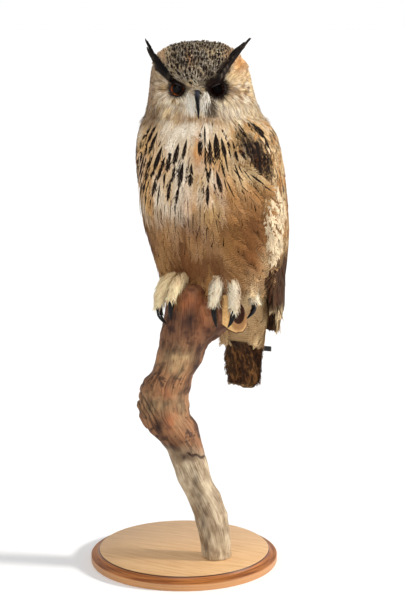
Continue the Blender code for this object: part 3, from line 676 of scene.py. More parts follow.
def make_skin():
    """One skin over the whole owl, smoothed over its joints and set in by the depth of the coat."""
    skin = remeshed("owl_skin", FLESH, SKIN_VOXEL)
    edges = edges_of(skin.data)
    points = points_of(skin.data)
    owner = owners_of(points)
    depth = np.array([FLESH_ZONES[node][0] for node in FLESH])[owner]
    thin = np.isin(owner, [FLESH.index(node) for node in FLESH if "tail" in node or "foot" in node])
    points += (relaxed(points, edges, SKIN_SMOOTHING) - points) * np.where(thin, THIN_SMOOTHING, 1.0)[:, None]
    set_points(skin.data, points)
    points -= normals_of(skin.data) * relaxed(depth, edges, 6)
    points += (relaxed(points, edges, 3) - points) * np.where(thin, 0.0, 1.0)[:, None]
    set_points(skin.data, points)
    tone = np.zeros_like(points)
    marks = np.zeros_like(points)
    for index, node in enumerate(FLESH):
        here = owner == index
        tone_of, marks_of = ZONES[FLESH_ZONES[node][1]]
        tone[here] = tone_of(points[here])
        marks[here] = marks_of(points[here])
    marks[:, 0] = 0.0
    vane = np.column_stack([points[:, 2], np.full(len(points), 0.8), np.zeros(len(points))])
    add_plumage_layers(skin.data, relaxed(tone, edges, 4) * SKIN_SHADE, vane, marks)
    skin.data.materials.append(SKIN_FINISH)
    mount(skin, "breast_feather", *FLESH, "owl_ear_tuft_left", "owl_ear_tuft_right")
    return skin, points, owner


SKIN, SKIN_POINTS, SKIN_OWNER = make_skin()
SKIN.data.calc_loop_triangles()
SKIN_FACES = values_of(SKIN.data.loop_triangles, "vertices", 3, np.int32)
SKIN_NORMALS = normals_of(SKIN.data)


# ---- eyes and lids
EYE_LOOKS_AND_SHADE = {"right": (0.72, 0.36), "left": (0.04, 0.05)}     # brightness of the iris, strength of the gloss; the left eye's are low for painted shade from the brow
EYE_BULGE = 0.05             # how far the front of the eye stands out, in radii


def eye_material(side):
    """A dark orange iris round a wide black pupil, under a clear wet front; painted shade from the lid and
    brow darkens the iris's top, and nearly all of the left eye.
    """
    brightness, clear = EYE_LOOKS_AND_SHADE[side]
    gloss = {"Coat_Weight": clear, "Coat_Roughness": 0.02, "Coat_IOR": 1.38}
    graph = material_graph("glass_eye_" + side, Roughness=0.25, Specular_IOR_Level=0.0, **gloss)
    x, _, z = graph.split(graph.place())
    radius = graph.math("DIVIDE", graph.math("SQRT", graph.times(x, x, graph.times(z, z))), EYE_RADIUS)
    rays = graph.noise(graph.join(graph.times(graph.math("ARCTAN2", z, x), 9.0), radius, 0.0), 2.0)
    iris = graph.layered(
        srgb(196, 104, 48) * brightness,
        (srgb(140, 64, 24) * brightness, rays, 0.35, 0.70, 1.0),
        (srgb(92, 40, 18) * brightness, radius, 0.74, 0.64, 1.0),
        # painted shade from the lid and brow: the iris darker towards its top
        (srgb(24, 10, 6), z, -0.2 * EYE_RADIUS, 0.45 * EYE_RADIUS, 0.9),
        (srgb(6, 4, 4), radius, 0.61, 0.56, 1.0),
        (srgb(10, 6, 5), radius, 0.80, 0.86, 1.0),
    )
    return graph.finish(iris)


def make_eye(side):
    ball = bmesh.new()
    bmesh.ops.create_uvsphere(ball, u_segments=48, v_segments=32, radius=EYE_RADIUS)
    bmesh.ops.rotate(ball, verts=ball.verts, matrix=Matrix.Rotation(math.radians(90), 3, "X"))
    for vert in ball.verts:
        ahead = max(0.0, -vert.co.y / EYE_RADIUS)
        vert.co *= 1 + EYE_BULGE * ahead**6
    mesh = bpy.data.meshes.new("eyeball_" + side)
    ball.to_mesh(mesh)
    ball.free()
    mesh.shade_smooth()
    eye = add_object("eyeball_" + side, mesh, eye_material(side))
    eye.location = EYE[side]
    mount(eye, "glass_eye", "owl_eye_" + side)


LID_STEPS = 56
LID_PROFILE = (              # degrees out from the lid's edge, height over the eyeball
    (1.5, 0.0002),
    (0.0, 0.0008),
    (1.5, 0.0016),
    (5.0, 0.0021),
    (11.0, 0.0020),
    (19.0, 0.0014),
    (30.0, 0.0008),
    (44.0, -0.0005),
)
LID_OPENING = 58.0           # degrees from the gaze to the round part of the lid's edge
LID_EDGES = ((66, 0.42), (265, 0.84))     # the way each straight edge faces, and its distance in radii
LID_THICKNESS = 0.0004


def lid_opening(turn, side):
    """Degrees from the gaze to the lid's edge: round, cut straight by an upper and a lower lid."""
    opening = LID_OPENING
    for way, distance in LID_EDGES:
        facing = math.cos(turn - math.radians(180 - way if side == "left" else way))
        if facing > distance:
            opening = min(opening, math.degrees(math.asin(distance / facing)))
    return opening


def lid_net(side):
    """The lids round one eye, as points and faces."""
    points = []
    faces = []
    for row, (out, height) in enumerate(LID_PROFILE):
        for k in range(LID_STEPS):
            turn = 2 * math.pi * k / LID_STEPS
            angle = math.radians(lid_opening(turn, side) + out)
            wrinkle = 0.00025 * math.sin(9 * turn + row) * min(row, 3) / 3
            radius = EYE_RADIUS + height + wrinkle
            across = radius * math.sin(angle)
            points.append((across * math.cos(turn), -radius * math.cos(angle), across * math.sin(turn)))
            if row:
                after = (k + 1) % LID_STEPS
                low = (row - 1) * LID_STEPS
                faces.append((low + k, low + after, low + LID_STEPS + after, low + LID_STEPS + k))
    return np.array(points) + EYE[side], faces


def lid_material():
    graph = material_graph("eyelid", Roughness=0.55, Specular_IOR_Level=0.35)
    creases = graph.noise(graph.place(), 900.0, 4.0)
    graph.bump(creases, 0.0004, 0.6)
    return graph.finish(graph.mix(creases, srgb(14, 9, 7), srgb(34, 24, 18)))


def make_lids(side, material):
    """The lids as a piece; and their points and triangles, for feathers to lie on."""
    points, faces = lid_net(side)
    lids = mesh_object("eyelids_" + side, points, faces, material)
    lids.modifiers.new("thick", "SOLIDIFY").thickness = LID_THICKNESS
    mount(lids, "face_feather")
    return points, [(a, b, c) for a, b, c, _ in faces] + [(a, c, d) for a, _, c, d in faces]


LID_FINISH = lid_material()
LID_POINTS = {}
tree_points = SKIN_POINTS
tree_faces = SKIN_FACES
for eye_side in SIDES:
    make_eye(eye_side)
    LID_POINTS[eye_side], lid_faces = make_lids(eye_side, LID_FINISH)
    tree_faces = np.concatenate([tree_faces, np.array(lid_faces) + len(tree_points)])
    tree_points = np.concatenate([tree_points, LID_POINTS[eye_side]])
SKIN_TREE = BVHTree.FromPolygons(tree_points.tolist(), tree_faces.tolist())


# ---- places for feathers
FAR = 0.3                    # far enough out to start a ray from outside the owl


def cast(start, way=(0, 1, 0)):
    """Where a ray meets the skin or a lid, and the normal there; None twice where it misses."""
    return SKIN_TREE.ray_cast(start, way)[:2]


def columns(rows):
    """Rows of values turned into one array for each of their columns."""
    return tuple(np.array(values) for values in zip(*rows))


def cast_all(starts):
    """The points and normals where rays towards the back meet the owl."""
    return columns(hit for hit in map(cast, starts) if hit[0] is not None)


def on_axis(height):
    """The middle of the body at a height."""
    return Vector((*axis_at(np.array([height]))[0], height))


def turned(degrees):
    """The directions to the left and to the back of a part turned some degrees to the owl's right."""
    turn = math.radians(degrees)
    return Vector((math.cos(turn), -math.sin(turn), 0.0)), Vector((math.sin(turn), math.cos(turn), 0.0))


UNDERSIDE = -0.40            # a normal that points further down than this belongs to an underside
CLOSEST = math.sqrt(0.72)    # how near each other feathers may stand, in spacings
TRIES = 4                    # places tried for each one spacing square
NEIGHBOURS = [(i, j, k) for i in (-1, 0, 1) for j in (-1, 0, 1) for k in (-1, 0, 1)]


def spaced(points, spacing):
    """The indices of points taken in turn that keep off those taken before."""
    taken = {}
    result = []
    nearest = spacing * CLOSEST
    cells = np.floor(points / spacing).astype(int)
    for index, (point, (x, y, z)) in enumerate(zip(points.tolist(), cells.tolist())):
        near = (other for i, j, k in NEIGHBOURS for other in taken.get((x + i, y + j, z + k), ()))
        if all(math.dist(point, other) >= nearest for other in near):
            taken.setdefault((x, y, z), []).append(point)
            result.append(index)
    return np.array(result, int)


def pick(places, chosen):
    return tuple(values[chosen] for values in places)


def scatter(nodes, spacing, keep=None, stretch=1.0):
    """Points and normals on the skin of some nodes, a spacing apart, and stretch times that in height."""
    faces = SKIN_FACES[np.isin(SKIN_OWNER[SKIN_FACES[:, 0]], [FLESH.index(node) for node in nodes])]
    corners = SKIN_POINTS[faces]
    areas = np.linalg.norm(np.cross(corners[:, 1] - corners[:, 0], corners[:, 2] - corners[:, 0]), axis=1) / 2
    count = int(areas.sum() / spacing**2 * TRIES)
    chosen = random.choice(len(faces), count, p=areas / areas.sum())
    u, v = random.random((2, count))
    u, v = np.where(u + v > 1, 1 - u, u), np.where(u + v > 1, 1 - v, v)
    weights = np.stack([1 - u - v, u, v], axis=1)[:, :, None]
    points = (corners[chosen] * weights).sum(axis=1)
    normals = unit((SKIN_NORMALS[faces[chosen]] * weights).sum(axis=1))
    wanted = (normals[:, 2] > UNDERSIDE) | (points[:, 2] > CHIN)
    if keep is not None:
        wanted &= keep(points)
    places = pick((points, normals), wanted)
    return pick(places, spaced(places[0] / (1.0, 1.0, stretch), spacing))


def heights(places):
    return places[0][:, 2]


LONGEST = 1.15               # the longest feather of a batch, as a share of its length
SHORTEST = 0.35              # feathers that would have to be shorter than this share are left out


def above(places, end, length):
    """The places that can carry a feather that ends above a height, and how long each of those may be."""
    reach = np.minimum(length, (heights(places) - end) / LONGEST)
    fits = reach > SHORTEST * length
    return pick(places, fits), reach[fits]


# ---- the lie of the coat
def body_flow(points):
    """Down the body, fanning out from the throat, and slanting back over the left flank."""
    x, _, z = points.T
    fan = 6.5 * (x - FACE_X - 0.008) * smooth(0.690, 0.830, z)
    front = smooth(-0.1, 0.4, facing_front(points))
    flank = smooth(0.560, 0.660, z) * smooth(0.815, 0.770, z)
    sweep = 0.95 * smooth(FACE_X + 0.015, FACE_X + 0.060, x) * flank
    return unit(np.stack([(fan + sweep) * front, np.zeros_like(x), -np.ones_like(x)], axis=1))


def down(points):
    return np.tile((0.0, 0.0, -1.0), (len(points), 1))


def back_and_down(points):
    """Over the crown from the brow, back over the top and down the nape."""
    x, y, z = (points - HEAD_CENTRE).T
    flow = unit(np.stack([0.15 * x, z, -y], axis=1))
    near_brow = smooth(0.016, 0.002, points[:, 2] - brow_line(points[:, 0])) * (points[:, 1] < 0)
    outward = np.stack([np.sign(x), 0 * x, 0.6 + 0 * x], axis=1)
    return unit(blend(flow, outward, near_brow))


def from_eyes(points):
    """Outwards over the face from the nearer eye, and away from the bill between them."""
    nearer = np.where((points[:, 0] < FACE_X)[:, None], EYE["right"], EYE["left"])
    from_bill = unit(points - (BILL_ROOT + (0, 0, 0.006))) + (0, 0, -0.6)
    return unit(blend(unit(points - nearer), from_bill, smooth(0.020, 0.004, np.abs(points[:, 0] - FACE_X))))


def along_toes(points):
    """Out from the ankle over each toe and down to its claw."""
    away = np.zeros_like(points)
    for side in SIDES:
        ankle = middle("owl_leg_" + side) - (0, 0.01, 0)
        here = np.abs(points[:, 0] - ankle[0]) < 0.055
        away[here] = points[here] - ankle
    away[:, 2] = -0.02 - 0.045 * smooth(0.575, 0.540, points[:, 2])
    return unit(away)


# ---- one feather of each kind
def barbed_vane(barbs, sweep, gape):
    """A soft feather: a shaft with separate barbs to each side, each a tapering blade swept forward.

    Returns for each point its place along, the place along where its width is read, and its place across;
    and the faces.
    """
    shaft = np.linspace(0.0, 1.0 - sweep * 0.8, barbs + 1)
    along = list(shaft)
    read = list(shaft)
    across = [0.0] * (barbs + 1)
    faces = []
    step = shaft[1] - shaft[0]
    for j in range(barbs):
        for side in (-1.0, 1.0):
            for end in (gape, 1.0):
                along.append(min(shaft[j] + sweep + step * end, 1.0 + 0.3 * step * end))
                read.append(shaft[j] + 0.5 * step)
                across.append(side)
            face = (j, j + 1, len(along) - 1, len(along) - 2)
            faces.append(face if side > 0 else face[::-1])
    return np.array(along), np.array(read), np.array(across), np.array(faces)


def strip(along, across):
    """An unbroken vane: rows at the places along, each with points at the places across."""
    width = len(across)
    first = [j * width + k for j in range(len(along) - 1) for k in range(width - 1)]
    faces = np.array([(j, j + width, j + width + 1, j + 1) for j in first])
    along = np.repeat(along, width)
    return along, along, np.tile(across, len(along) // width), faces


def rounded(t):
    """The half width along a body feather, as a share of its greatest."""
    return np.clip(np.sin(np.pi * np.clip(0.10 + 0.86 * t, 0, 1)), 0, 1) ** 0.6


def tapering(t):
    return (1.0 - 0.85 * t**1.6) * (0.5 + 0.5 * smooth(0.0, 0.25, t))


def tip(t, start, bluntness):
    """1 up to a start, then falling in a quarter of an ellipse to a blunt end."""
    return np.sqrt(np.clip(1 - np.clip((t - start) / (1 - start), 0, bluntness) ** 2, 0, 1))


def strap(t):
    """The half width along a flight feather: even for most of its length and rounded at its tip."""
    return (0.45 + 0.55 * smooth(0.0, 0.45, t)) * tip(t, 0.90, 0.995)


def leaf(t):
    """The half width of an ear tuft's feather: broad below its middle and pointed."""
    return smooth(-0.1, 0.35, t) * (1 - 0.28 * t) * tip(t, 0.80, 0.99)


FIRM_VANE = strip(1 - np.linspace(1, 0, 27) ** 1.5, np.linspace(-1, 1, 5))
# The kinds of feather: a vane and the width along it.
SOFT = (barbed_vane(11, 0.20, 0.35), rounded)
SMALL = (barbed_vane(7, 0.22, 0.35), rounded)
HAIR = (strip(np.linspace(0, 1, 5), np.array((-1.0, 1.0))), tapering)
FIRM = (FIRM_VANE, strap)
TUFT = (FIRM_VANE, leaf)
USUAL_LOOKS = {
    "lift": (0.0006, 0.0050),    # height over the skin at the root and at the tip
    "curve": 1.0,                # above 1 the feather rises late, below 1 early
    "cup": 0.12,                 # how far the edges bend down, as a share of the width
    "fray": 0.10,                # how uneven the edges are
    "stray": 0.10,               # how far feathers turn from the flow
    "uneven": 0.15,              # how much their lengths differ
    "streaked": 0.65,            # the share of feathers with a shaft streak
    "jitter": 0.07,              # how much their brightness differs
    "bar_size": 1.0,             # the spacing of the bars
    "colour": None,              # a colour and marks of their own, in place of the zone's
    "marks": None,
}
STATIONS = 7                 # places along each shaft where it is laid on the skin
LOST = 0.006                 # a shaft that comes further than this off the skin runs free
SHARPEST = 0.45              # and so does one that meets a turn sharper than this cosine
POINT_SHARE = 0.55           # how much of a feather's tone is read at its points, and not at its middle
COLOUR_SHARE = 0.85          # how much of a colour of their own feathers take


# ---- batches of feathers
def lay(roots, normals, ways, lengths):
    """Runs each shaft over the skin from its root: places, normals and directions at the stations."""
    point = roots.copy()
    normal = normals.copy()
    way = unit(ways - normal * (ways * normal).sum(1, keepdims=True))
    path, ups, alongs = [], [], []
    for _ in range(STATIONS):
        path.append(point)
        ups.append(normal)
        alongs.append(way)
        target = point + way * (lengths / (STATIONS - 1))[:, None]
        hits = [SKIN_TREE.find_nearest(place) for place in target.tolist()]
        point = np.array([hit[0] for hit in hits])
        facet = np.array([hit[1] for hit in hits])
        off = (np.linalg.norm(point - target, axis=1) > LOST) | ((facet * normal).sum(1) < SHARPEST)
        off |= facet[:, 2] < UNDERSIDE
        point[off] = target[off]
        facet[off] = normal[off]
        normal = unit(normal + facet * 1.2)
        way = unit(way - normal * (way * normal).sum(1, keepdims=True))
    return np.stack(path, 1), np.stack(ups, 1), np.stack(alongs, 1)


def drop(t):
    """How wide a shaft streak is along the feather: nothing at the root, full near the tip."""
    return smooth(0.08, 0.55, t) * (1 - 0.85 * smooth(0.88, 1.00, t))


def grow(places, ways, length, half_width, zone, kind=SOFT, **looks):
    """One batch of feathers of a kind at places; ways is a flow, or a direction for each."""
    roots, normals = places
    ways = ways(roots) if callable(ways) else ways
    looks = {**USUAL_LOOKS, **looks}
    count = len(roots)
    lengths = np.broadcast_to(length, count) * random.uniform(1 - looks["uneven"], 1 + looks["uneven"], count)
    widths = np.broadcast_to(half_width, count) * random.uniform(0.88, 1.12, count)
    ways = unit(ways) + unit(np.cross(normals, ways)) * random.normal(0, looks["stray"], count)[:, None]
    return dress(lay(roots, normals, ways, lengths), lengths, widths, zone, kind, looks)


def dress(shafts, lengths, widths, zone, kind, looks):
    """Puts vanes on shafts that are laid: places, normals and directions at the stations."""
    path = shafts[0]
    count = len(path)
    (along, read, across, faces), profile = kind
    start, end = (np.reshape(value, (-1, 1)) for value in looks["lift"])
    fray = looks["fray"]
    t = along[None, :] + random.normal(0, 0.018, (count, len(along))) * (np.abs(across) > 0.5) * fray * 10
    s = across[None, :] * (1 + random.normal(0, fray, (count, len(along))) * (np.abs(across) > 0.9))
    position = np.clip(t, 0, 1) * (STATIONS - 1)
    low = np.minimum(position.astype(int), STATIONS - 2)
    part = (position - low)[:, :, None]
    rows = np.arange(count)[:, None]
    spot, up, way = (line[rows, low] * (1 - part) + line[rows, low + 1] * part for line in shafts)
    up = unit(up)
    spot = spot + way * ((t - np.clip(t, 0, 1)) * lengths[:, None])[:, :, None]
    sideways = np.cross(up, way)
    out = s * profile(read)[None, :] * widths[:, None]
    rise = start + (end - start) * np.clip(t, 0, 1.1) ** looks["curve"]
    rise = rise * random.uniform(0.75, 1.25, count)[:, None] - looks["cup"] * np.abs(out) * np.abs(s)
    return {
        "points": spot + sideways * out[:, :, None] + up * rise[:, :, None],
        "normals": unit(up + sideways * (0.35 * s)[:, :, None]),
        "faces": faces,
        "roots": path[:, 0],
        "visible": path[:, int(STATIONS * 0.7)],
        "t": t,
        "s": s,
        "lengths": lengths,
        "zone": zone,
        "looks": looks,
    }


def batch_colours(batch):
    """Tone, vane and marks for each point of a batch."""
    t, looks = batch["t"], batch["looks"]
    count, size = t.shape
    tone_of, marks_of = ZONES[batch["zone"]]
    tone = tone_of(batch["points"].reshape(-1, 3)).reshape(count, size, 3)
    tone = tone * POINT_SHARE + tone_of(batch["visible"])[:, None, :] * (1 - POINT_SHARE)
    if looks["colour"] is not None:
        tone = tone * (1 - COLOUR_SHARE) + looks["colour"] * COLOUR_SHARE
    jitter = random.normal(1.0, looks["jitter"], (count, 1, 1))
    # painted shade: each feather is darker towards its root, under the feathers that lie over it
    tone = np.clip(tone * jitter * (0.80 + 0.20 * smooth(0.1, 0.6, t))[:, :, None], 0.004, 0.95)
    marks = even_marks(*looks["marks"])(t) if looks["marks"] else marks_of(batch["visible"])
    marks[:, 0] *= np.where(random.random(count) < looks["streaked"], random.uniform(0.62, 1.25, count), 0.12)
    marks = np.repeat(marks[:, None, :], size, axis=1)
    reach = drop(t) * (marks[:, :, 0] > 0.02)
    marks[:, :, 0] = marks[:, :, 0] * reach - 0.35 * (1 - reach)
    number = np.repeat(random.uniform(0, 6.28, count)[:, None], size, axis=1)
    along = t * batch["lengths"][:, None] / looks["bar_size"]
    return tone, np.stack([along, batch["s"], number], axis=2), marks


PATCH = 0.003                # the size of one feather's patch on its coat's map
MAP_EDGE = 0.004             # the map's free border


def unwrapped(points, centre, low, high):
    """A place on the skin as (turn round the piece's own axis, height), each within 0 to 1."""
    turn = np.arctan2(points[:, 1] - centre[1], points[:, 0] - centre[0]) / (2 * np.pi) + 0.5
    height = (points[:, 2] - low) / max(high - low, 1e-6)
    return MAP_EDGE + (1 - 2 * MAP_EDGE) * np.stack([turn, height], axis=1)


def make_coat(name, slot, *batches):
    """One coat piece from its batches of feathers, each feather with its own patch on the OFBake map."""
    roots = np.concatenate([batch["roots"] for batch in batches])
    low, high = roots.min(0), roots.max(0)
    gathered = ([], [], [], [], [], [])
    quads = []
    total = 0
    for batch in batches:
        count, size = batch["t"].shape
        homes = unwrapped(batch["roots"], (low + high) / 2, low[2], high[2])
        local = np.stack([batch["s"] * 0.5, np.clip(batch["t"], 0, 1) - 0.5], axis=2) * PATCH
        patch = np.clip(homes[:, None, :] + local, 0.0, 1.0)
        offsets = total + np.arange(count) * size
        quads.append((batch["faces"][None] + offsets[:, None, None]).reshape(-1, 4))
        values = (batch["points"], batch["normals"], patch, *batch_colours(batch))
        for rows, part in zip(gathered, values):
            rows.append(part.reshape(count * size, -1))
        total += count * size
    points, normals, on_map, tone, vane, marks = (np.concatenate(rows) for rows in gathered)
    quads = np.concatenate(quads)
    mesh = array_mesh(name, points, quads)
    add_plumage_layers(mesh, tone, vane, marks)
    layer = mesh.uv_layers.new(name="OFBake")
    layer.data.foreach_set("uv", on_map[quads.ravel()].astype(np.float32).ravel())
    mesh.shade_smooth()
    mesh.normals_split_custom_set_from_vertices(unit(normals).tolist())
    mount(add_object(name, mesh, PLUMAGE), slot)
    print(name, "feathers", len(roots), "triangles", 2 * len(quads))


# ---- the coat, piece by piece
BODY = ("owl_trunk", "owl_neck", "owl_leg_left", "owl_leg_right")
UPPER = 0.690                # the height that parts the breast's coat from the belly's
BODY_TURN = 22               # degrees that the body is turned towards its right
STREAK_COLUMNS = 11          # to each side of the middle
STREAK_ROWS = ((0.868, 0.0245, 7), (0.694, 0.024, 5))     # top, step down and count of two sets of rows
SHOULDER_STREAKS = (         # X and Z of the roots of a few dark feathers on the left shoulder
    (0.0900, 0.868),
    (0.1040, 0.872),
    (0.1160, 0.870),
    (0.1180, 0.850),
    (0.0940, 0.850),
    (0.0820, 0.838),
)


def streak_fits(place, normal, back):
    """Whether a streak may root here: on the front, and off the throat, the orange stripe and the flank."""
    if place is None or place.x > FACE_X + 0.055 or normal.dot(back) > -0.15:
        return False
    on_throat = place.z > 0.846 and -0.030 < place.x < 0.032
    on_stripe = place.z > 0.775 and abs(place.x - FACE_X - 0.0005) < 0.0060
    return not on_throat and not on_stripe


def streaked_places():
    """Roots in columns that fan out from the throat, staggered from row to row, found from the front."""
    across, back = turned(BODY_TURN)
    found = []
    for top, step, count in STREAK_ROWS:
        for row in range(count):
            for column in range(-STREAK_COLUMNS, STREAK_COLUMNS + 1):
                shake = random.normal(0, 1, 2) * (0.0018, 0.0045)
                height = top - step * row - 0.5 * step * (column % 2) + shake[1]
                spread = float(0.0054 + 0.0031 * smooth(0.856, 0.790, height))
                aside = column * spread - 0.004 + shake[0]
                place, normal = cast(on_axis(height) - back * FAR + across * aside, back)
                if streak_fits(place, normal, back):
                    found.append((place, normal))
    found += [cast((x, -FAR, z)) for x, z in SHOULDER_STREAKS]
    return columns(found)


def on_front(points):
    return facing_front(points) > -0.15


BODY_REGIONS = (             # each coat, where it grows, and the share of its long feathers with a streak
    ("coat_breast", lambda p: on_front(p) & (p[:, 2] > UPPER), 0.0),
    ("coat_belly", lambda p: on_front(p) & (p[:, 2] <= UPPER), 0.0),
    ("coat_back", lambda p: ~on_front(p), 0.7),
)


def body_coats():
    """A thick plain layer, and over it the long feathers that carry the streaks."""
    layers = (scatter(BODY, 0.0085), scatter(BODY, 0.0130, stretch=3.0), streaked_places())
    for name, region, streaked in BODY_REGIONS:
        under, over, bold = (pick(places, region(places[0])) for places in layers)
        size = 0.034 + 0.012 * smooth(0.83, 0.70, heights(under))
        batches = [grow(under, body_flow, size, 0.0085, "body", streaked=0.0)]
        size = 0.054 + 0.018 * smooth(0.84, 0.74, heights(over))
        looks = {"streaked": np.where(over[0][:, 0] > FACE_X + 0.050, 0.9, streaked), "stray": 0.07}
        batches.append(grow(over, body_flow, size, 0.0100, "body", lift=(0.0020, 0.0050), **looks))
        if len(bold[0]):
            width = random.uniform(0.0068, 0.0104, len(bold[0]))
            looks = {"lift": (0.0040, 0.0072), "streaked": 0.95, "stray": 0.05}
            batches.append(grow(bold, body_flow, 0.079, width, "body", **looks))
        make_coat(name, "breast_feather", *batches)


CROWN_COLUMNS = 11           # to each side of the middle
CROWN_SPACING = 0.0048       # from column to column
CROWN_STEP = 0.0042          # the step along each column; a feather stands at every other one


def over_brow(points, margin=0.002):
    return points[:, 2] > brow_line(points[:, 0]) + margin


def crown_rows():
    """Narrow feathers with dark middles in columns from the brow back over the crown."""
    found = []
    for column in range(-CROWN_COLUMNS, CROWN_COLUMNS):
        x = FACE_X + (column + 0.5) * CROWN_SPACING
        place, normal = cast((x, -0.2, float(brow_line(x)) + 0.0015))
        for step in range(40):
            if place is None or place.y > 0.055:
                break
            way = Vector(back_and_down(np.array([place]))[0] + (0.025 * column * (place.y < 0), 0, 0))
            way = (way - normal * way.dot(normal)).normalized()
            if (step + column) % 2 == 0:
                found.append((place + Vector(random.normal(0, 0.0008, 3)), normal, way))
            place, normal = SKIN_TREE.find_nearest(place + way * CROWN_STEP)[:2]
    extra = scatter(("owl_head",), 0.0062, lambda p: over_brow(p, 0.004) & (p[:, 1] < 0.020))
    extra = (*extra, back_and_down(extra[0]))
    roots, normals, ways = (np.concatenate(pair) for pair in zip(columns(found), extra))
    width = random.uniform(0.0022, 0.0036, len(roots))
    raised = 0.0064 - 0.0040 * smooth(-0.034, -0.014, roots[:, 1])
    looks = {"lift": (0.0026, raised), "streaked": 1.0, "jitter": 0.22, "stray": 0.08}
    return grow((roots, normals), ways, 0.0150, width, "head", SMALL, **looks)


def on_face(points):
    return ~over_brow(points) & (points[:, 1] <= -0.010)


def head_coats():
    places = scatter(("owl_head",), 0.0056, lambda p: ~on_face(p))
    length = 0.026 - 0.008 * smooth(0.03, -0.05, places[0][:, 1])
    looks = {"lift": (0.0005, 0.0018), "streaked": 0.60, "jitter": 0.20}
    batch = grow(places, back_and_down, length, 0.0052, "head", SMALL, **looks)
    make_coat("coat_crown", "face_feather", batch, crown_rows())
    looks = {"lift": (0.0004, 0.0034), "jitter": 0.24, "streaked": 0.0}
    places = scatter(("owl_head",), 0.0016, on_face)
    make_coat("coat_face", "face_feather", grow(places, from_eyes, 0.0155, 0.0009, "head", HAIR, **looks))


def ruff_coat():
    """The feathers that run from the lower edge of the face down over the neck."""
    places = scatter(("owl_head",), 0.0022, lambda p: (p[:, 2] < CHIN + 0.018) & (p[:, 1] < 0.02))
    roots = places[0]
    ways = body_flow(roots) + unit(roots - HEAD_CENTRE) * (0.5, 0.5, 0.0)
    aside = np.abs(roots[:, 0] - FACE_X)
    longest = 1.20 + 0.35 * smooth(0.045, 0.065, aside)
    length = (0.018 + 0.010 * smooth(0.0, 0.05, aside)) * random.uniform(0.55, longest)
    looks = {"lift": (0.0012, 0.0085), "curve": 0.7, "streaked": 0.0, "jitter": 0.14, "stray": 0.11}
    fringe = grow(places, ways, length, 0.0013, "head", HAIR, **looks)
    places = scatter(("owl_head",), 0.0075, lambda p: (p[:, 2] < CHIN + 0.022) & (p[:, 1] >= 0.02))
    nape = grow(places, body_flow, 0.040, 0.0085, "body", lift=(0.0010, 0.0065), streaked=0.8)
    make_coat("coat_ruff", "face_feather", fringe, nape)


def brow_coats():
    """Short black feathers that stand up in the band between each eye and the foot of its tuft."""
    for side in SIDES:
        start, end = (np.array(place) for place in BROWS[side])
        share = random.random(BROW_FEATHERS)[:, None]
        spots = start + (end - start) * share + random.normal(0, 0.0022, (BROW_FEATHERS, 2))
        places = cast_all((x, -0.2, z) for x, z in spots.tolist())
        ways = np.tile(unit(np.array((end[0] - start[0], 0.0, end[1] - start[1]))), (len(places[0]), 1))
        looks = {"lift": (0.0010, 0.0060), "streaked": 0.0, "jitter": 0.3, "stray": 0.2, "colour": BLACK}
        batch = grow(places, ways, 0.016, 0.0024, "head", SMALL, **looks)
        make_coat("coat_brow_" + side, "tuft_feather", batch)


# Each clump of bristles: side, count, lean, nearest place to the middle, top under the bill's root, height,
# length and colour.
BRISTLES = (
    (-1.0, 150, -0.45, 0.0055, 0.000, 0.024, 0.021, WHITE),
    (1.0, 130, -0.20, 0.0055, 0.000, 0.024, 0.021, WHITE),
    # the dark clump: near black for dark bristles and painted shade beside the bill
    (1.0, 220, 0.15, 0.0115, 0.015, 0.015, 0.019, UMBER * 0.35),
)


def bristle_coat():
    """Long stiff bristles to both sides of the bill: white ones, and a dark clump on its left, near black for
    dark bristles and painted shade.
    """
    batches = []
    for sign, count, lean, inner, lowered, band, length, colour in BRISTLES:
        spread = random.random((count, 2))
        x = FACE_X + sign * (inner + 0.010 * spread[:, 0])
        z = BILL_ROOT[2] + 0.001 - lowered - band * spread[:, 1]
        places = cast_all((across, -0.16, height) for across, height in zip(x.tolist(), z.tolist()))
        outwards = sign * (34 * np.abs(places[0][:, 0] - FACE_X) + lean)
        ways = np.stack([outwards, np.full(len(outwards), -0.5), np.full(len(outwards), -1.0)], axis=1)
        looks = {"lift": (0.0020, 0.0145), "curve": 0.7, "streaked": 0.0, "jitter": 0.34, "stray": 0.24}
        batches.append(grow(places, ways, length, 0.0007, "head", HAIR, uneven=0.30, colour=colour, **looks))
    make_coat("bristles", "face_feather", *batches)


LASH_ROWS = ((3, 0.0050), (4, 0.0065), (5, 0.0080), (6, 0.0095))     # the row of the lid, and the length


def lash_coats():
    """Short dark feathers that radiate from the lids."""
    for side in SIDES:
        rows = LID_POINTS[side].reshape(len(LID_PROFILE), LID_STEPS, 3)
        batches = []
        for row, length in LASH_ROWS:
            roots = rows[row] + random.normal(0, 0.0003, (LID_STEPS, 3))
            looks = {"lift": (0.0003, 0.0022), "streaked": 0.0, "jitter": 0.2}
            places = (roots, unit(roots - EYE[side]))
            batches.append(grow(places, rows[row + 1] - rows[row], length, 0.0010, "head", HAIR, **looks))
        make_coat("coat_lids_" + side, "face_feather", *batches)


def wing_coats():
    for side in SIDES:
        places = scatter(("owl_wing_" + side,), 0.0085)
        length = 0.030 + 0.022 * smooth(0.82, 0.70, heights(places))
        upper = grow(places, down, length, 0.0092, "wing", lift=(0.0005, 0.0042), streaked=0.8)
        places, lengths = above(scatter(("owl_wingtip_" + side,), 0.0100), WING_END, 0.045)
        looks = {"lift": (0.0004, 0.0022), "fray": 0.05, "stray": 0.04, "uneven": 0.08}
        lower = grow(places, down, lengths, 0.0080, "wing", **looks)
        make_coat("coat_wing_" + side, "wing_feather", upper, lower)


FLUFF = (0.1640, 0.6800, 0.013, 0.056)     # X, Z, half width and half height of the pale fluff


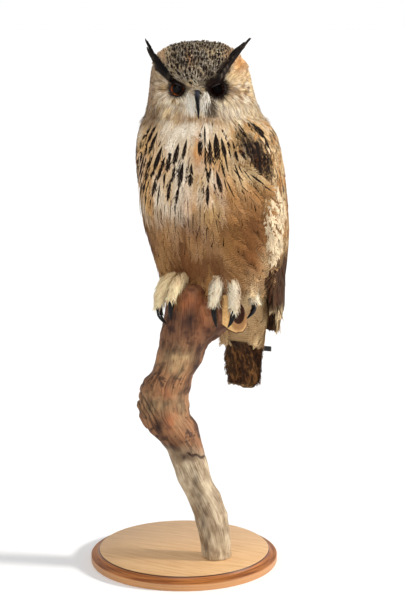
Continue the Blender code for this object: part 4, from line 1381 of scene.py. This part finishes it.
def fluff_coat():
    """Loose white fluff between the left flank and the wing."""
    places = scatter(
        ("owl_wing_left", "owl_trunk"), 0.0052, lambda p: (blob(p, *FLUFF) > 0.3) & (p[:, 1] < 0.045)
    )
    looks = {"lift": (0.0040, 0.0080), "streaked": 0.0, "jitter": 0.12, "stray": 0.18, "fray": 0.12}
    looks.update(colour=blend(CREAM, WHITE, 0.30), marks=(0.0, 0.05, 0.0))
    make_coat("coat_fluff", "breast_feather", grow(places, down, 0.034, 0.0062, "body", **looks))


def on_flank(points):
    x, y, z = points.T
    return (x > FACE_X + 0.036) & (x < FACE_X + 0.116) & (z > 0.625) & (z < 0.795) & (y < 0.02)


def flank_coat():
    """Long buff feathers that slant back over the left flank, each with a thin dark shaft line."""
    places = scatter(("owl_trunk", "owl_neck"), 0.0100, on_flank, stretch=2.4)
    looks = {"lift": (0.0042, 0.0078), "streaked": 1.0, "jitter": 0.12, "stray": 0.06}
    make_coat("coat_flank", "breast_feather", grow(places, body_flow, 0.066, 0.0095, "body", **looks))


def between_feet(points):
    x, y, z = points.T
    return (np.abs(x - FACE_X + 0.002) < 0.026) & (z < SKIRT + 0.055) & (y < -0.02)


def skirt_coat():
    """The belly's longest fluff, which hangs over the branch between the feet."""
    places = scatter(("owl_trunk",), 0.0058, between_feet)
    length = np.clip(heights(places) - SKIRT + 0.030, 0.020, 0.050)
    batch = grow(places, down, length, 0.0070, "body", lift=(0.0010, 0.0060), streaked=0.0, stray=0.14)
    make_coat("coat_skirt", "breast_feather", batch)


def on_side(side, degrees, height):
    """The skin at some degrees from the owl's side towards its back, at a height: place and normal."""
    outward = turned(BODY_TURN - (degrees if side == "left" else 180 - degrees))[0]
    return cast(on_axis(height) + outward * FAR, -outward)


WING_POINT = 50              # where the folded wing's point lies: degrees from the owl's side to its back
WING_LAST = 80               # and where its last feather stands


def quills(side, count, first, top, bottom, rise):
    """The places, directions and lengths of one row of flight feathers."""
    found = []
    for i in range(count):
        degrees = first + (WING_LAST - first) * i / (count - 1)
        root, normal = on_side(side, degrees, top)
        end_height = bottom + rise * abs(degrees - WING_POINT) ** 1.4 / 45**1.4
        end, _ = on_side(side, WING_POINT + (degrees - WING_POINT) * 0.45, end_height)
        if root is not None and end is not None:
            found.append((root, normal, end - root, (end - root).length * 1.02))
    roots, normals, ways, lengths = columns(found)
    return (roots, normals), ways, lengths


QUILL_ROWS = (               # count, top, bottom, rise of the outer tips, half width and lift
    (10, WING_SPLIT + 0.040, WING_END + 0.002, 0.050, 0.0115, (0.0016, 0.0036)),
    (9, WING_SPLIT + 0.110, WING_END + 0.085, 0.020, 0.0135, (0.0030, 0.0058)),
)
QUILL_LOOKS = {"stray": 0.01, "cup": 0.05, "streaked": 0.0}


def wing_quills():
    for side, first in (("right", 28), ("left", 4)):
        batches = []
        for count, top, bottom, rise, half_width, lift in QUILL_ROWS:
            row = quills(side, count, first, top, bottom, rise)
            looks = {"lift": lift, "bar_size": 5.0, "fray": 0.04, "uneven": 0.03, **QUILL_LOOKS}
            batches.append(grow(*row, half_width, "wing", FIRM, **looks))
        make_coat("quills_wing_" + side, "wing_feather", *batches)


def tail_coats():
    places, lengths = above(scatter(("owl_undertail",), 0.0085), low_corner("owl_undertail")[2], 0.048)
    batch = grow(places, down, lengths, 0.0088, "vent", lift=(0.0005, 0.0040))
    make_coat("coat_undertail", "breast_feather", batch)
    places, lengths = above(scatter(("owl_tail",), 0.0085), TAIL_END + 0.006, 0.036)
    batch = grow(places, down, lengths, 0.0085, "tail", lift=(0.0003, 0.0018), stray=0.04, fray=0.05)
    make_coat("coat_tail", "tail_feather", batch)


TAIL_TURN = 24               # degrees that the tail is turned towards the owl's right
TAIL_HALF = 0.026
TAIL_ROWS = ((1, 0.426, 7), (-1, 0.414, 6))     # behind and in front: the height of the roots, and the count


def tail_quills():
    """The long tail feathers, seen from behind and, below the undertail feathers, from the front."""
    across, outward = turned(TAIL_TURN)
    centre = middle("owl_tail")
    found = []
    for facing, top, count in TAIL_ROWS:
        for i in range(count):
            share = 2 * i / (count - 1) - 1
            aside = across * (share * TAIL_HALF) * 0.75
            start = Vector((centre[0], centre[1], top)) + aside + outward * facing * FAR
            root, normal = cast(start, outward * -facing)
            if root is not None:
                way = Vector((0, 0, -1)) + across * (0.02 * share)
                found.append((root, normal, way, root.z - (TAIL_END + 0.002 + 0.014 * share**4)))
    roots, normals, ways, lengths = columns(found)
    looks = {"lift": (0.0024, 0.0038), "bar_size": 2.6, "fray": 0.03, "uneven": 0.02, **QUILL_LOOKS}
    batch = grow((roots, normals), ways, lengths, 0.0105, "tail", FIRM, **looks)
    make_coat("quills_tail", "tail_feather", batch)


def foot_coats():
    looks = {"lift": (0.0008, 0.0068), "jitter": 0.14, "streaked": 0.0, "stray": 0.24}
    for side in SIDES:
        places = scatter(("owl_foot_" + side,), 0.0022)
        batch = grow(places, along_toes, 0.0190, 0.0011, "foot", HAIR, **looks)
        make_coat("coat_foot_" + side, "toe_feather", batch)


TUFT_FEATHERS = 10
SECOND_FEATHER = {           # how far each tuft's second feather stands aside, and its share of the length
    "right": ((-0.0034, 0.0010, -0.0040), 0.82),
    "left": ((-0.0062, 0.0010, 0.0020), 0.78),
}


def tuft_line(side):
    """The root, bend and tip of a CAD tuft."""
    points = points_of(NODES["owl_ear_tuft_" + side].data)
    by_height = points[np.argsort(points[:, 2])]
    root = by_height[:8].mean(0)
    top = by_height[-1]
    bend = points[np.abs(points[:, 2] - (root[2] + top[2]) / 2) < 0.006].mean(0)
    return root, bend, top


def ear_tufts():
    """Each ear tuft as a sheaf of firm dark feathers along the CAD tuft's run."""
    for side in SIDES:
        root, bend, top = tuft_line(side)
        aside, share = SECOND_FEATHER[side]
        reach = np.concatenate([[1.0, share], random.uniform(0.50, 0.95, TUFT_FEATHERS - 2)])
        reach = reach[:, None, None] * np.linspace(0, 1, STATIONS)[None, :, None]
        shift = random.normal(0, 1, (TUFT_FEATHERS, 1, 3)) * (0.0016, 0.0030, 0.0016)
        shift[0] = 0
        shift[1] = aside
        start, turn, end = root + shift, bend + shift * 1.1 + (0, -0.001, 0), top + shift * (1.0, 1.3, 0.3)
        path = (1 - reach) ** 2 * start + 2 * reach * (1 - reach) * turn + reach**2 * end
        alongs = unit(np.gradient(path, axis=1))
        ups = unit(path - HEAD_CENTRE)
        ups = unit(ups - alongs * (ups * alongs).sum(2, keepdims=True))
        lengths = np.linalg.norm(np.diff(path, axis=1), axis=2).sum(1)
        widths = random.uniform(0.0038, 0.0048, TUFT_FEATHERS)
        looks = {**USUAL_LOOKS, "lift": (0.0, 0.0004), "cup": 0.15, "streaked": 0.0, "jitter": 0.25}
        batch = dress((path, ups, alongs), lengths, widths, "tuft", TUFT, looks)
        make_coat("coat_tuft_" + side, "tuft_feather", batch)


# Each is dressed from a seed of its own, in this order.
COATS = (
    body_coats,
    head_coats,
    ruff_coat,
    brow_coats,
    bristle_coat,
    lash_coats,
    wing_coats,
    fluff_coat,
    flank_coat,
    skirt_coat,
    wing_quills,
    tail_coats,
    tail_quills,
    foot_coats,
    ear_tufts,
)


# ---- horn and clip
def streaked_horn(name, squash, scale, bump, **settings):
    """Lengthwise streaks for horn or plastic, as a graph and a value."""
    graph = material_graph(name, **settings)
    streaks = graph.noise(graph.place((1.0, 1.0, squash)), scale)
    graph.bump(streaks, 0.0002, bump)
    return graph, streaks


def claw_material():
    """Black horn with a dull bloom, under a polish."""
    looks = {"Roughness": 0.32, "Specular_IOR_Level": 0.10, "Coat_Weight": 0.14, "Coat_Roughness": 0.07}
    graph, streaks = streaked_horn("horn", 0.18, 900.0, 0.4, **looks)
    return graph.finish(graph.layered(srgb(8, 6, 6), (srgb(28, 26, 27), streaks, 0.4, 0.8, 1.0)))


def bill_material():
    """Black horn, with a painted blue-grey highlight near the bill's root."""
    looks = {"Roughness": 0.36, "Specular_IOR_Level": 0.06, "Coat_Weight": 0.06, "Coat_Roughness": 0.08}
    graph, streaks = streaked_horn("bill_horn", 0.2, 700.0, 0.4, **looks)
    dark = graph.mix(streaks, srgb(5, 4, 5), srgb(14, 13, 15))
    _, _, z = graph.split(graph.place())
    # painted highlight: blue-grey at the top, near the bill's root
    top = (srgb(52, 54, 62), z, BILL_ROOT[2] - 0.012, BILL_ROOT[2] - 0.002, 1.0)
    return graph.finish(graph.layered(dark, top))


def clip_material():
    graph, scuffs = streaked_horn("clip_plastic", 1.0, 700.0, 0.5, Roughness=0.42, Specular_IOR_Level=0.5)
    return graph.finish(graph.mix(scuffs, srgb(14, 14, 15), srgb(34, 34, 36)))


CLAW_ADDED = 0.0014          # how much stouter each claw is at its root


def thicken(mesh):
    """Makes a claw stouter towards its root and leaves its point sharp."""
    points = points_of(mesh)
    height = points[:, 2] - points[:, 2].min()
    share = np.sqrt(smooth(0.0, 1.0, height / height.max()))
    set_points(mesh, points + normals_of(mesh) * (CLAW_ADDED * share)[:, None])


def smooth_copy(name, node, voxel, rounds, material, slot, slimmer=1.0):
    """A detailed piece on a CAD node's own shape: its facets rounded off, and slimmer from side to side."""
    piece = remeshed(name, [node], voxel)
    points = relaxed(points_of(piece.data), edges_of(piece.data), rounds)
    across = points[:, 0].mean()
    points[:, 0] = across + (points[:, 0] - across) * slimmer
    set_points(piece.data, points)
    piece.data.materials.append(material)
    mount(piece, slot, node)
    return piece


def make_horn():
    claw_horn = claw_material()
    bill_horn = bill_material()
    for half, rounds in (("upper", 6), ("lower", 4)):
        smooth_copy("bill_" + half, "owl_bill_" + half, 0.0008, rounds, bill_horn, "horn", 0.64)
    for node in sorted(NODES):
        if node.startswith("owl_talon"):
            claw = smooth_copy(node.replace("owl_talon", "claw"), node, 0.0007, 5, claw_horn, "horn")
            thicken(claw.data)


def make_clip():
    smooth_copy("tail_clip", "tail_tag", 0.0006, 2, clip_material(), "tag_plastic")


# ---- branch
BRANCH_VOXEL = 0.0019
FORK_SIDE = 0.060            # X beyond which the upper branch is the fork
FORK_HOLLOW = (0.102, 0.503, 0.0125, 0.024)     # X, Z, half width and half height of the rotted hollow
BURL = (low_corner("perch_branch")[0], 0.302, 0.046, 0.044)
CRACK_HEIGHT = 0.2370
RELIEF = (0.0040, -0.0012, 0.0008, -0.0055, -0.0035, -0.0016)     # lumps to rings, in make_branch's order
RELIEF_LIMITS = (-0.0070, 0.0020)
# Patches on the front: X, Z, half width, half height and strength.
# Dark patches: the first two are painted shade beside the claws of the owl's right foot, the others are
# stains.
STAINS_AND_SHADE = (
    (-0.0240, 0.494, 0.011, 0.030, 0.95),
    (0.0160, 0.492, 0.010, 0.022, 0.85),
    (0.0470, 0.462, 0.014, 0.012, 0.70),
    (0.0360, 0.435, 0.010, 0.016, 0.80),
    (0.0230, 0.398, 0.008, 0.016, 0.85),
    (0.0050, 0.352, 0.020, 0.007, 0.55),
    (-0.0300, 0.440, 0.014, 0.008, 0.45),
    (-0.0130, 0.430, 0.020, 0.006, 0.55),
    (0.0080, 0.229, 0.014, 0.007, 0.90),
    (-0.0620, 0.335, 0.010, 0.030, 0.55),
    (-0.0460, 0.292, 0.010, 0.022, 0.60),
    (-0.0200, 0.252, 0.020, 0.014, 0.55),
    (0.0230, 0.180, 0.006, 0.024, 0.50),
    (0.0300, 0.145, 0.006, 0.020, 0.45),
    (0.0380, 0.100, 0.007, 0.026, 0.55),
    (0.0440, 0.060, 0.006, 0.022, 0.55),
)
BLEACHES = (
    (-0.0100, 0.410, 0.022, 0.020, 0.75),
    (0.0110, 0.416, 0.008, 0.010, 0.90),
    (-0.0560, 0.330, 0.020, 0.020, 0.55),
    (-0.0120, 0.322, 0.018, 0.030, 0.35),
)
REDS = (
    (0.0100, 0.520, 0.040, 0.016, 0.80),
    (0.0360, 0.498, 0.014, 0.030, 0.60),
    (-0.0240, 0.300, 0.009, 0.014, 0.80),
    (-0.0380, 0.350, 0.024, 0.008, 0.50),
)
PATCH_TABLES = ((STAINS_AND_SHADE, 31), (BLEACHES, 32), (REDS, 33))     # each with the seed for its ragged edges


def patches(points, table, seed):
    """The strongest patch of a table at each point, with its edges broken up."""
    broken = 0.35 + 1.1 * noise(points * (1, 1, 0.5), 0.006, seed)
    total = np.zeros(len(points))
    for x, z, half_width, half_height, strength in table:
        total = np.maximum(total, strength * blob(points, x, z, half_width * 1.2, half_height * 1.2))
    return np.clip(total * broken, 0, 1)


def stem_line(points):
    """The middle of the branch's stem, read at each point's height."""
    stem = points[(points[:, 0] < FORK_SIDE) | (points[:, 2] < 0.40)]
    levels = np.linspace(points[:, 2].min(), points[:, 2].max(), 40)
    nearest = np.abs(stem[:, 2][:, None] - levels[None, :]).argmin(1)
    rows = []
    for k, level in enumerate(levels):
        here = stem[nearest == k, :2]
        if len(here) > 8:
            rows.append((level, *((here.min(0) + here.max(0)) / 2)))
    rows = np.array(rows)
    return np.stack([np.interp(points[:, 2], rows[:, 0], rows[:, k]) for k in (1, 2)], axis=1)


def ridges(values, sharpness):
    """Noise of 0 to 1 folded into grooves: 1 in the groove, falling off to both sides."""
    return np.clip(1 - np.abs(values - 0.5) * 2 * sharpness, 0, 1) ** 2


def from_centre(points, x, z, half_width, half_height):
    """The distance from a place in X and Z, as a share of the two half sizes."""
    return np.hypot((points[:, 0] - x) / half_width, (points[:, 2] - z) / half_height)


def sawn(points, normals):
    """Shares of 0 to 1 for the fork's sawn end, the rotted hollow in it and nearness to the hollow."""
    x, y, z = points.T
    fork = (z > 0.44) & (z < 0.56) & (x > 0.072) & (y < -0.058)
    distance = from_centre(points, *FORK_HOLLOW)
    cut = fork * smooth(0.72, 0.90, -normals[:, 1])
    hollow = fork * smooth(1.10, 0.80, distance) * (y < y[fork].min() + 0.03)
    return cut, hollow, smooth(1.9, 1.1, distance)


def wood_material():
    """Weathered wood: brown and stained above, grey and dry below, yellow where the fork is sawn."""
    graph = material_graph("weathered_wood", Roughness=0.68, Specular_IOR_Level=0.25)
    turn, length, level = graph.split(graph.attribute("grain"))
    stain_and_shade, bleach, red = graph.split(graph.attribute("patches"))
    cut, hollow, inside = graph.split(graph.attribute("sawn"))
    fibres = graph.noise(graph.join(graph.times(turn, 330), graph.times(length, 22), 0.0), 1.0, 5.0)
    broad = graph.noise(graph.join(graph.times(turn, 45), graph.times(length, 20), 2.0), 1.0, 4.0)
    spots = graph.noise(graph.place(), 75.0, 5.0)
    mottle = graph.noise(graph.place((1.0, 1.0, 0.6)), 48.0)
    upper = graph.layered(
        srgb(78, 48, 32),
        (srgb(146, 102, 68), broad, 0.34, 0.60, 1.0),
        (srgb(54, 30, 20), spots, 0.52, 0.62, 0.85),
        (srgb(92, 56, 38), level, 0.40, 0.47, 0.45),
    )
    lower = graph.layered(
        srgb(146, 126, 98),
        (srgb(196, 178, 150), broad, 0.30, 0.70, 1.0),
        (srgb(112, 88, 64), mottle, 0.46, 0.66, 0.60),
        (srgb(206, 190, 164), mottle, 0.44, 0.30, 0.50),
    )
    waver = graph.times(graph.noise(graph.place(), 22.0), 0.08, -0.04)
    colour = graph.layered(lower, (upper, graph.math("ADD", level, waver), 0.215, 0.265, 1.0))
    # pale, red and dark patches; two of the dark ones are painted shade beside the claws
    for share, other in ((bleach, srgb(190, 160, 116)), (red, srgb(158, 96, 58)), (stain_and_shade, srgb(48, 26, 18))):
        colour = graph.mix(share, colour, other)
    uneven = graph.step(graph.noise(graph.place(), 30.0, 2.0), 0.35, 0.65, 0.25, 0.85)
    lined = graph.times(graph.step(fibres, 0.56, 0.38), uneven)
    colour = graph.mix(lined, colour, np.array((0.42, 0.34, 0.28)), "MULTIPLY")
    rings = graph.noise(graph.place((1.0, 6.0, 1.0)), 190.0)
    end_grain = graph.layered(
        srgb(186, 140, 84),
        (srgb(216, 176, 118), rings, 0.25, 0.75, 1.0),
        (srgb(128, 82, 46), inside, 0.2, 0.9, 0.75),
    )
    colour = graph.layered(
        colour,
        (srgb(46, 26, 18), graph.attribute("pits", "Fac"), 0.35, 0.95, 0.85),
        (end_grain, cut, 0.35, 0.65, 1.0),
        (srgb(62, 34, 22), hollow, 0.35, 0.65, 1.0),
    )
    graph.bump(fibres, 0.0010, 0.6)
    return graph.finish(colour)


def make_branch():
    """The weathered branch: the CAD's form with its grain, lumps, burl furrows and a crack cut into it."""
    branch = remeshed("branch", ["perch_branch"], BRANCH_VOXEL)
    mesh = branch.data
    points = relaxed(points_of(mesh), edges_of(mesh), 6)
    set_points(mesh, points)
    normals = normals_of(mesh)
    x, _, z = points.T
    away = points[:, :2] - stem_line(points)
    girth = np.arctan2(away[:, 1], away[:, 0]) * 0.042 + 0.10 * z
    strip_place = np.stack([girth, 0 * z, z * 0.16], axis=1)
    patchy = smooth(0.40, 0.70, noise(points * (1, 1, 0.5), 0.045, 25))
    grooves = ridges(noise(strip_place, 0.0085, 21), 2.2) * (0.25 + 0.75 * patchy)
    lumps = noise(points, 0.026, 22) - 0.5
    rings = ridges(noise(points * (0.4, 0.4, 1), 0.016, 27), 1.8) * (z > 0.30)
    fine = noise(strip_place, 0.0030, 23) - 0.5
    slanted = (z * 0.45 + x * 0.89) / 0.0088 + 0.8 * noise(points, 0.02, 24)
    furrows = ridges(slanted % 1.0, 1.6) * smooth(1.15, 0.75, from_centre(points, *BURL))
    crack_height = CRACK_HEIGHT + 0.0020 * np.sin(x * 300) - 0.33 * (x - 0.0036)
    crack = np.exp(-(((z - crack_height) / 0.0028) ** 2)) * smooth(0.002, 0.012, x) * (away[:, 1] < 0.01)
    cut, hollow, inside = sawn(points, normals)
    depth = sum(height * form for height, form in zip(RELIEF, (lumps, grooves, fine, furrows, crack, rings)))
    depth = np.clip(depth, *RELIEF_LIMITS) * (1 - np.maximum(cut, hollow))
    depth *= smooth(BASE_TOP, BASE_TOP + 0.01, z) * 0.9 + 0.1
    points = points + normals * depth[:, None]
    set_points(mesh, points)
    marks = [patches(points, table, seed) * (away[:, 1] < 0.012) for table, seed in PATCH_TABLES]
    add_attribute(mesh, "grain", np.column_stack([girth, points[:, 2], points[:, 2]]))
    add_attribute(mesh, "patches", np.column_stack(marks))
    add_attribute(mesh, "sawn", np.column_stack([cut, hollow, inside]))
    pits = 0.45 * grooves + 1.2 * furrows + 1.3 * crack + 0.35 * rings
    add_attribute(mesh, "pits", np.clip(pits, 0, 1), "FLOAT")
    mesh.materials.append(wood_material())
    mount(branch, "weathered_wood", "perch_branch")


# ---- base
EDGE_TOP = 0.0135            # the height where the base's round meets its straight edge
STEP_DOWN = 0.0022           # the step round the base's top
BASE_SEGMENTS = 160
ROUND_STEPS = 10


def varnished_material():
    """Honey wood with a straight grain under gloss varnish, darker where the turned edge shows end grain."""
    looks = {"Roughness": 0.30, "Coat_Weight": 0.15, "Coat_Roughness": 0.38, "Specular_IOR_Level": 0.25}
    graph = material_graph("varnished_wood", **looks)
    place = graph.place()
    x, y, z = graph.split(place)
    slant = graph.times(x, 0.42, y)
    bent = graph.times(graph.noise(place, 3.0, 1.0), 9.0, graph.times(slant, 120))
    lines = graph.noise(graph.join(bent, graph.times(x, 7), 0.0), 1.0)
    fine = graph.noise(graph.join(graph.times(slant, 620), graph.times(x, 26), 0.0), 1.0)
    rim = graph.noise(graph.place((14.0, 14.0, 640.0)), 1.0)
    warm = graph.layered(
        srgb(122, 66, 26),
        (srgb(172, 108, 54), rim, 0.35, 0.65, 1.0),
        (srgb(206, 160, 112), z, EDGE_TOP, EDGE_TOP - 0.0015, 0.5),
    )
    colour = graph.layered(
        srgb(208, 164, 114),
        (srgb(222, 182, 134), lines, 0.34, 0.66, 1.0),
        (srgb(168, 116, 70), fine, 0.52, 0.36, 0.35),
        (warm, z, BASE_TOP - 0.0016, BASE_TOP - 0.0030, 1.0),
    )
    below = graph.step(z, BASE_TOP - 0.0004, BASE_TOP - 0.0010)
    above_step = graph.step(z, BASE_TOP - 0.0032, BASE_TOP - STEP_DOWN)
    colour = graph.mix(graph.times(below, above_step), colour, srgb(74, 38, 18))
    graph.bump(fine, 0.0001, 0.12)
    graph.finish(graph.step(lines, 0.3, 0.7, 0.42, 0.52), "Roughness")
    return graph.finish(colour)


def base_profile():
    """Radius and height down the base's turned edge, on the CAD base's own radii."""
    radius = high_corner("base_plinth")[0]
    top_radius = radius - 0.0164
    step_radius = top_radius + 0.0016
    step = BASE_TOP - STEP_DOWN
    profile = [(0.0, BASE_TOP), (top_radius - 0.0006, BASE_TOP)]
    profile += [(top_radius, BASE_TOP - 0.0005), (step_radius, step)]
    for k in range(1, ROUND_STEPS + 1):
        angle = 0.5 * math.pi * k / ROUND_STEPS
        out = step_radius + (radius - 0.002 - step_radius) * (1 - math.cos(angle))
        profile.append((out, step - (step - EDGE_TOP - 0.001) * math.sin(angle)))
    profile += [(radius - 0.0005, EDGE_TOP + 0.0004), (radius, EDGE_TOP - 0.0006), (radius, 0.0022)]
    return profile + [(radius - 0.0006, 0.0007), (radius - 0.0018, 0.0), (0.0, 0.0)]


def make_base():
    """The turned base again, with a finer round and eased corners."""
    profile = base_profile()
    rows = len(profile)
    points = []
    faces = []
    for k in range(BASE_SEGMENTS):
        angle = 2 * math.pi * k / BASE_SEGMENTS
        points += [(r * math.cos(angle), r * math.sin(angle), z) for r, z in profile]
        here, after = k * rows, (k + 1) % BASE_SEGMENTS * rows
        faces += [(here + j, here + j + 1, after + j + 1, after + j) for j in range(rows - 1)]
    base = mesh_object("turned_base", points, faces, varnished_material())
    base.modifiers.new("centre", "WELD").merge_threshold = 0.00001
    base.data.set_sharp_from_angle(angle=math.radians(40))
    mount(base, "varnished_wood", "base_plinth")


# ---- studio
CAMERA_PLACE = (0.0356, -3.0, 1.0610)
CAMERA_DOWN = 10.56          # degrees that the camera looks down
CAMERA_LENS = 95.37
SKY_OVERHEAD = 0.48          # the sky's brightness overhead
SKY_AHEAD = 0.30             # and above the camera
FLOOR_HALF = 60.0
SUNS = (                     # name, the way it shines, strength, softness in degrees, colour and shadow
    ("key", (-0.88, 0.13, -0.38), 3.3, 7, (1.0, 0.97, 0.93), True),
    ("fill", (0.25, 0.90, -0.45), 0.7, 60, (1.0, 1.0, 1.0), True),
    ("catch", (0.02, 0.80, -0.60), 1.1, 6, (1.0, 1.0, 1.0), False),
)


def make_camera():
    camera_data = bpy.data.cameras.new("camera")
    camera_data.lens = CAMERA_LENS
    camera_data.sensor_width = 36.0
    camera = add_object("camera", camera_data)
    camera.location = CAMERA_PLACE
    camera.rotation_euler = (math.radians(90 - CAMERA_DOWN), 0.0, 0.0)
    bpy.context.scene.camera = camera


def make_suns():
    for name, way, strength, softness, colour, shadow in SUNS:
        light = bpy.data.lights.new(name, "SUN")
        light.energy = strength
        light.angle = math.radians(softness)
        light.color = colour
        light.use_shadow = shadow
        add_object(name, light).rotation_euler = Vector(way).to_track_quat("-Z", "Y").to_euler()


def make_sky():
    """White at eye level, dimmer overhead, and dim above the camera so that gloss stays dark."""
    graph = Graph(bpy.data.worlds.new("studio"), "Background", {"Color": (1.0, 1.0, 1.0, 1.0)})
    _, y, z = graph.split(graph.place(space="Generated"))
    overhead = graph.step(z, 0.10, 0.45, 1.0, SKY_OVERHEAD)
    ahead = graph.times(graph.step(z, 0.06, 0.16), graph.step(y, -0.10, -0.60, 0.0, 1.0 - SKY_AHEAD))
    strength = graph.times(overhead, graph.math("SUBTRACT", 1.0, ahead))
    bpy.context.scene.world = graph.finish(strength, "Strength")


def make_floor():
    graph = material_graph("floor_paper", Roughness=0.9)
    paper = graph.mix(graph.noise(graph.place(), 14.0), srgb(254, 254, 254), srgb(251, 251, 252))
    corners = [(x * FLOOR_HALF, y * FLOOR_HALF, 0) for x, y in ((-1, -1), (1, -1), (1, 1), (-1, 1))]
    mesh_object("floor", corners, [(0, 1, 2, 3)], graph.finish(paper))


make_camera()
make_suns()
make_sky()
make_floor()
bpy.context.scene.view_settings.view_transform = "Standard"
for number, dress_part in enumerate(COATS):
    random = np.random.default_rng(SEED + number)
    dress_part()
make_horn()
make_branch()
make_base()
make_clip()
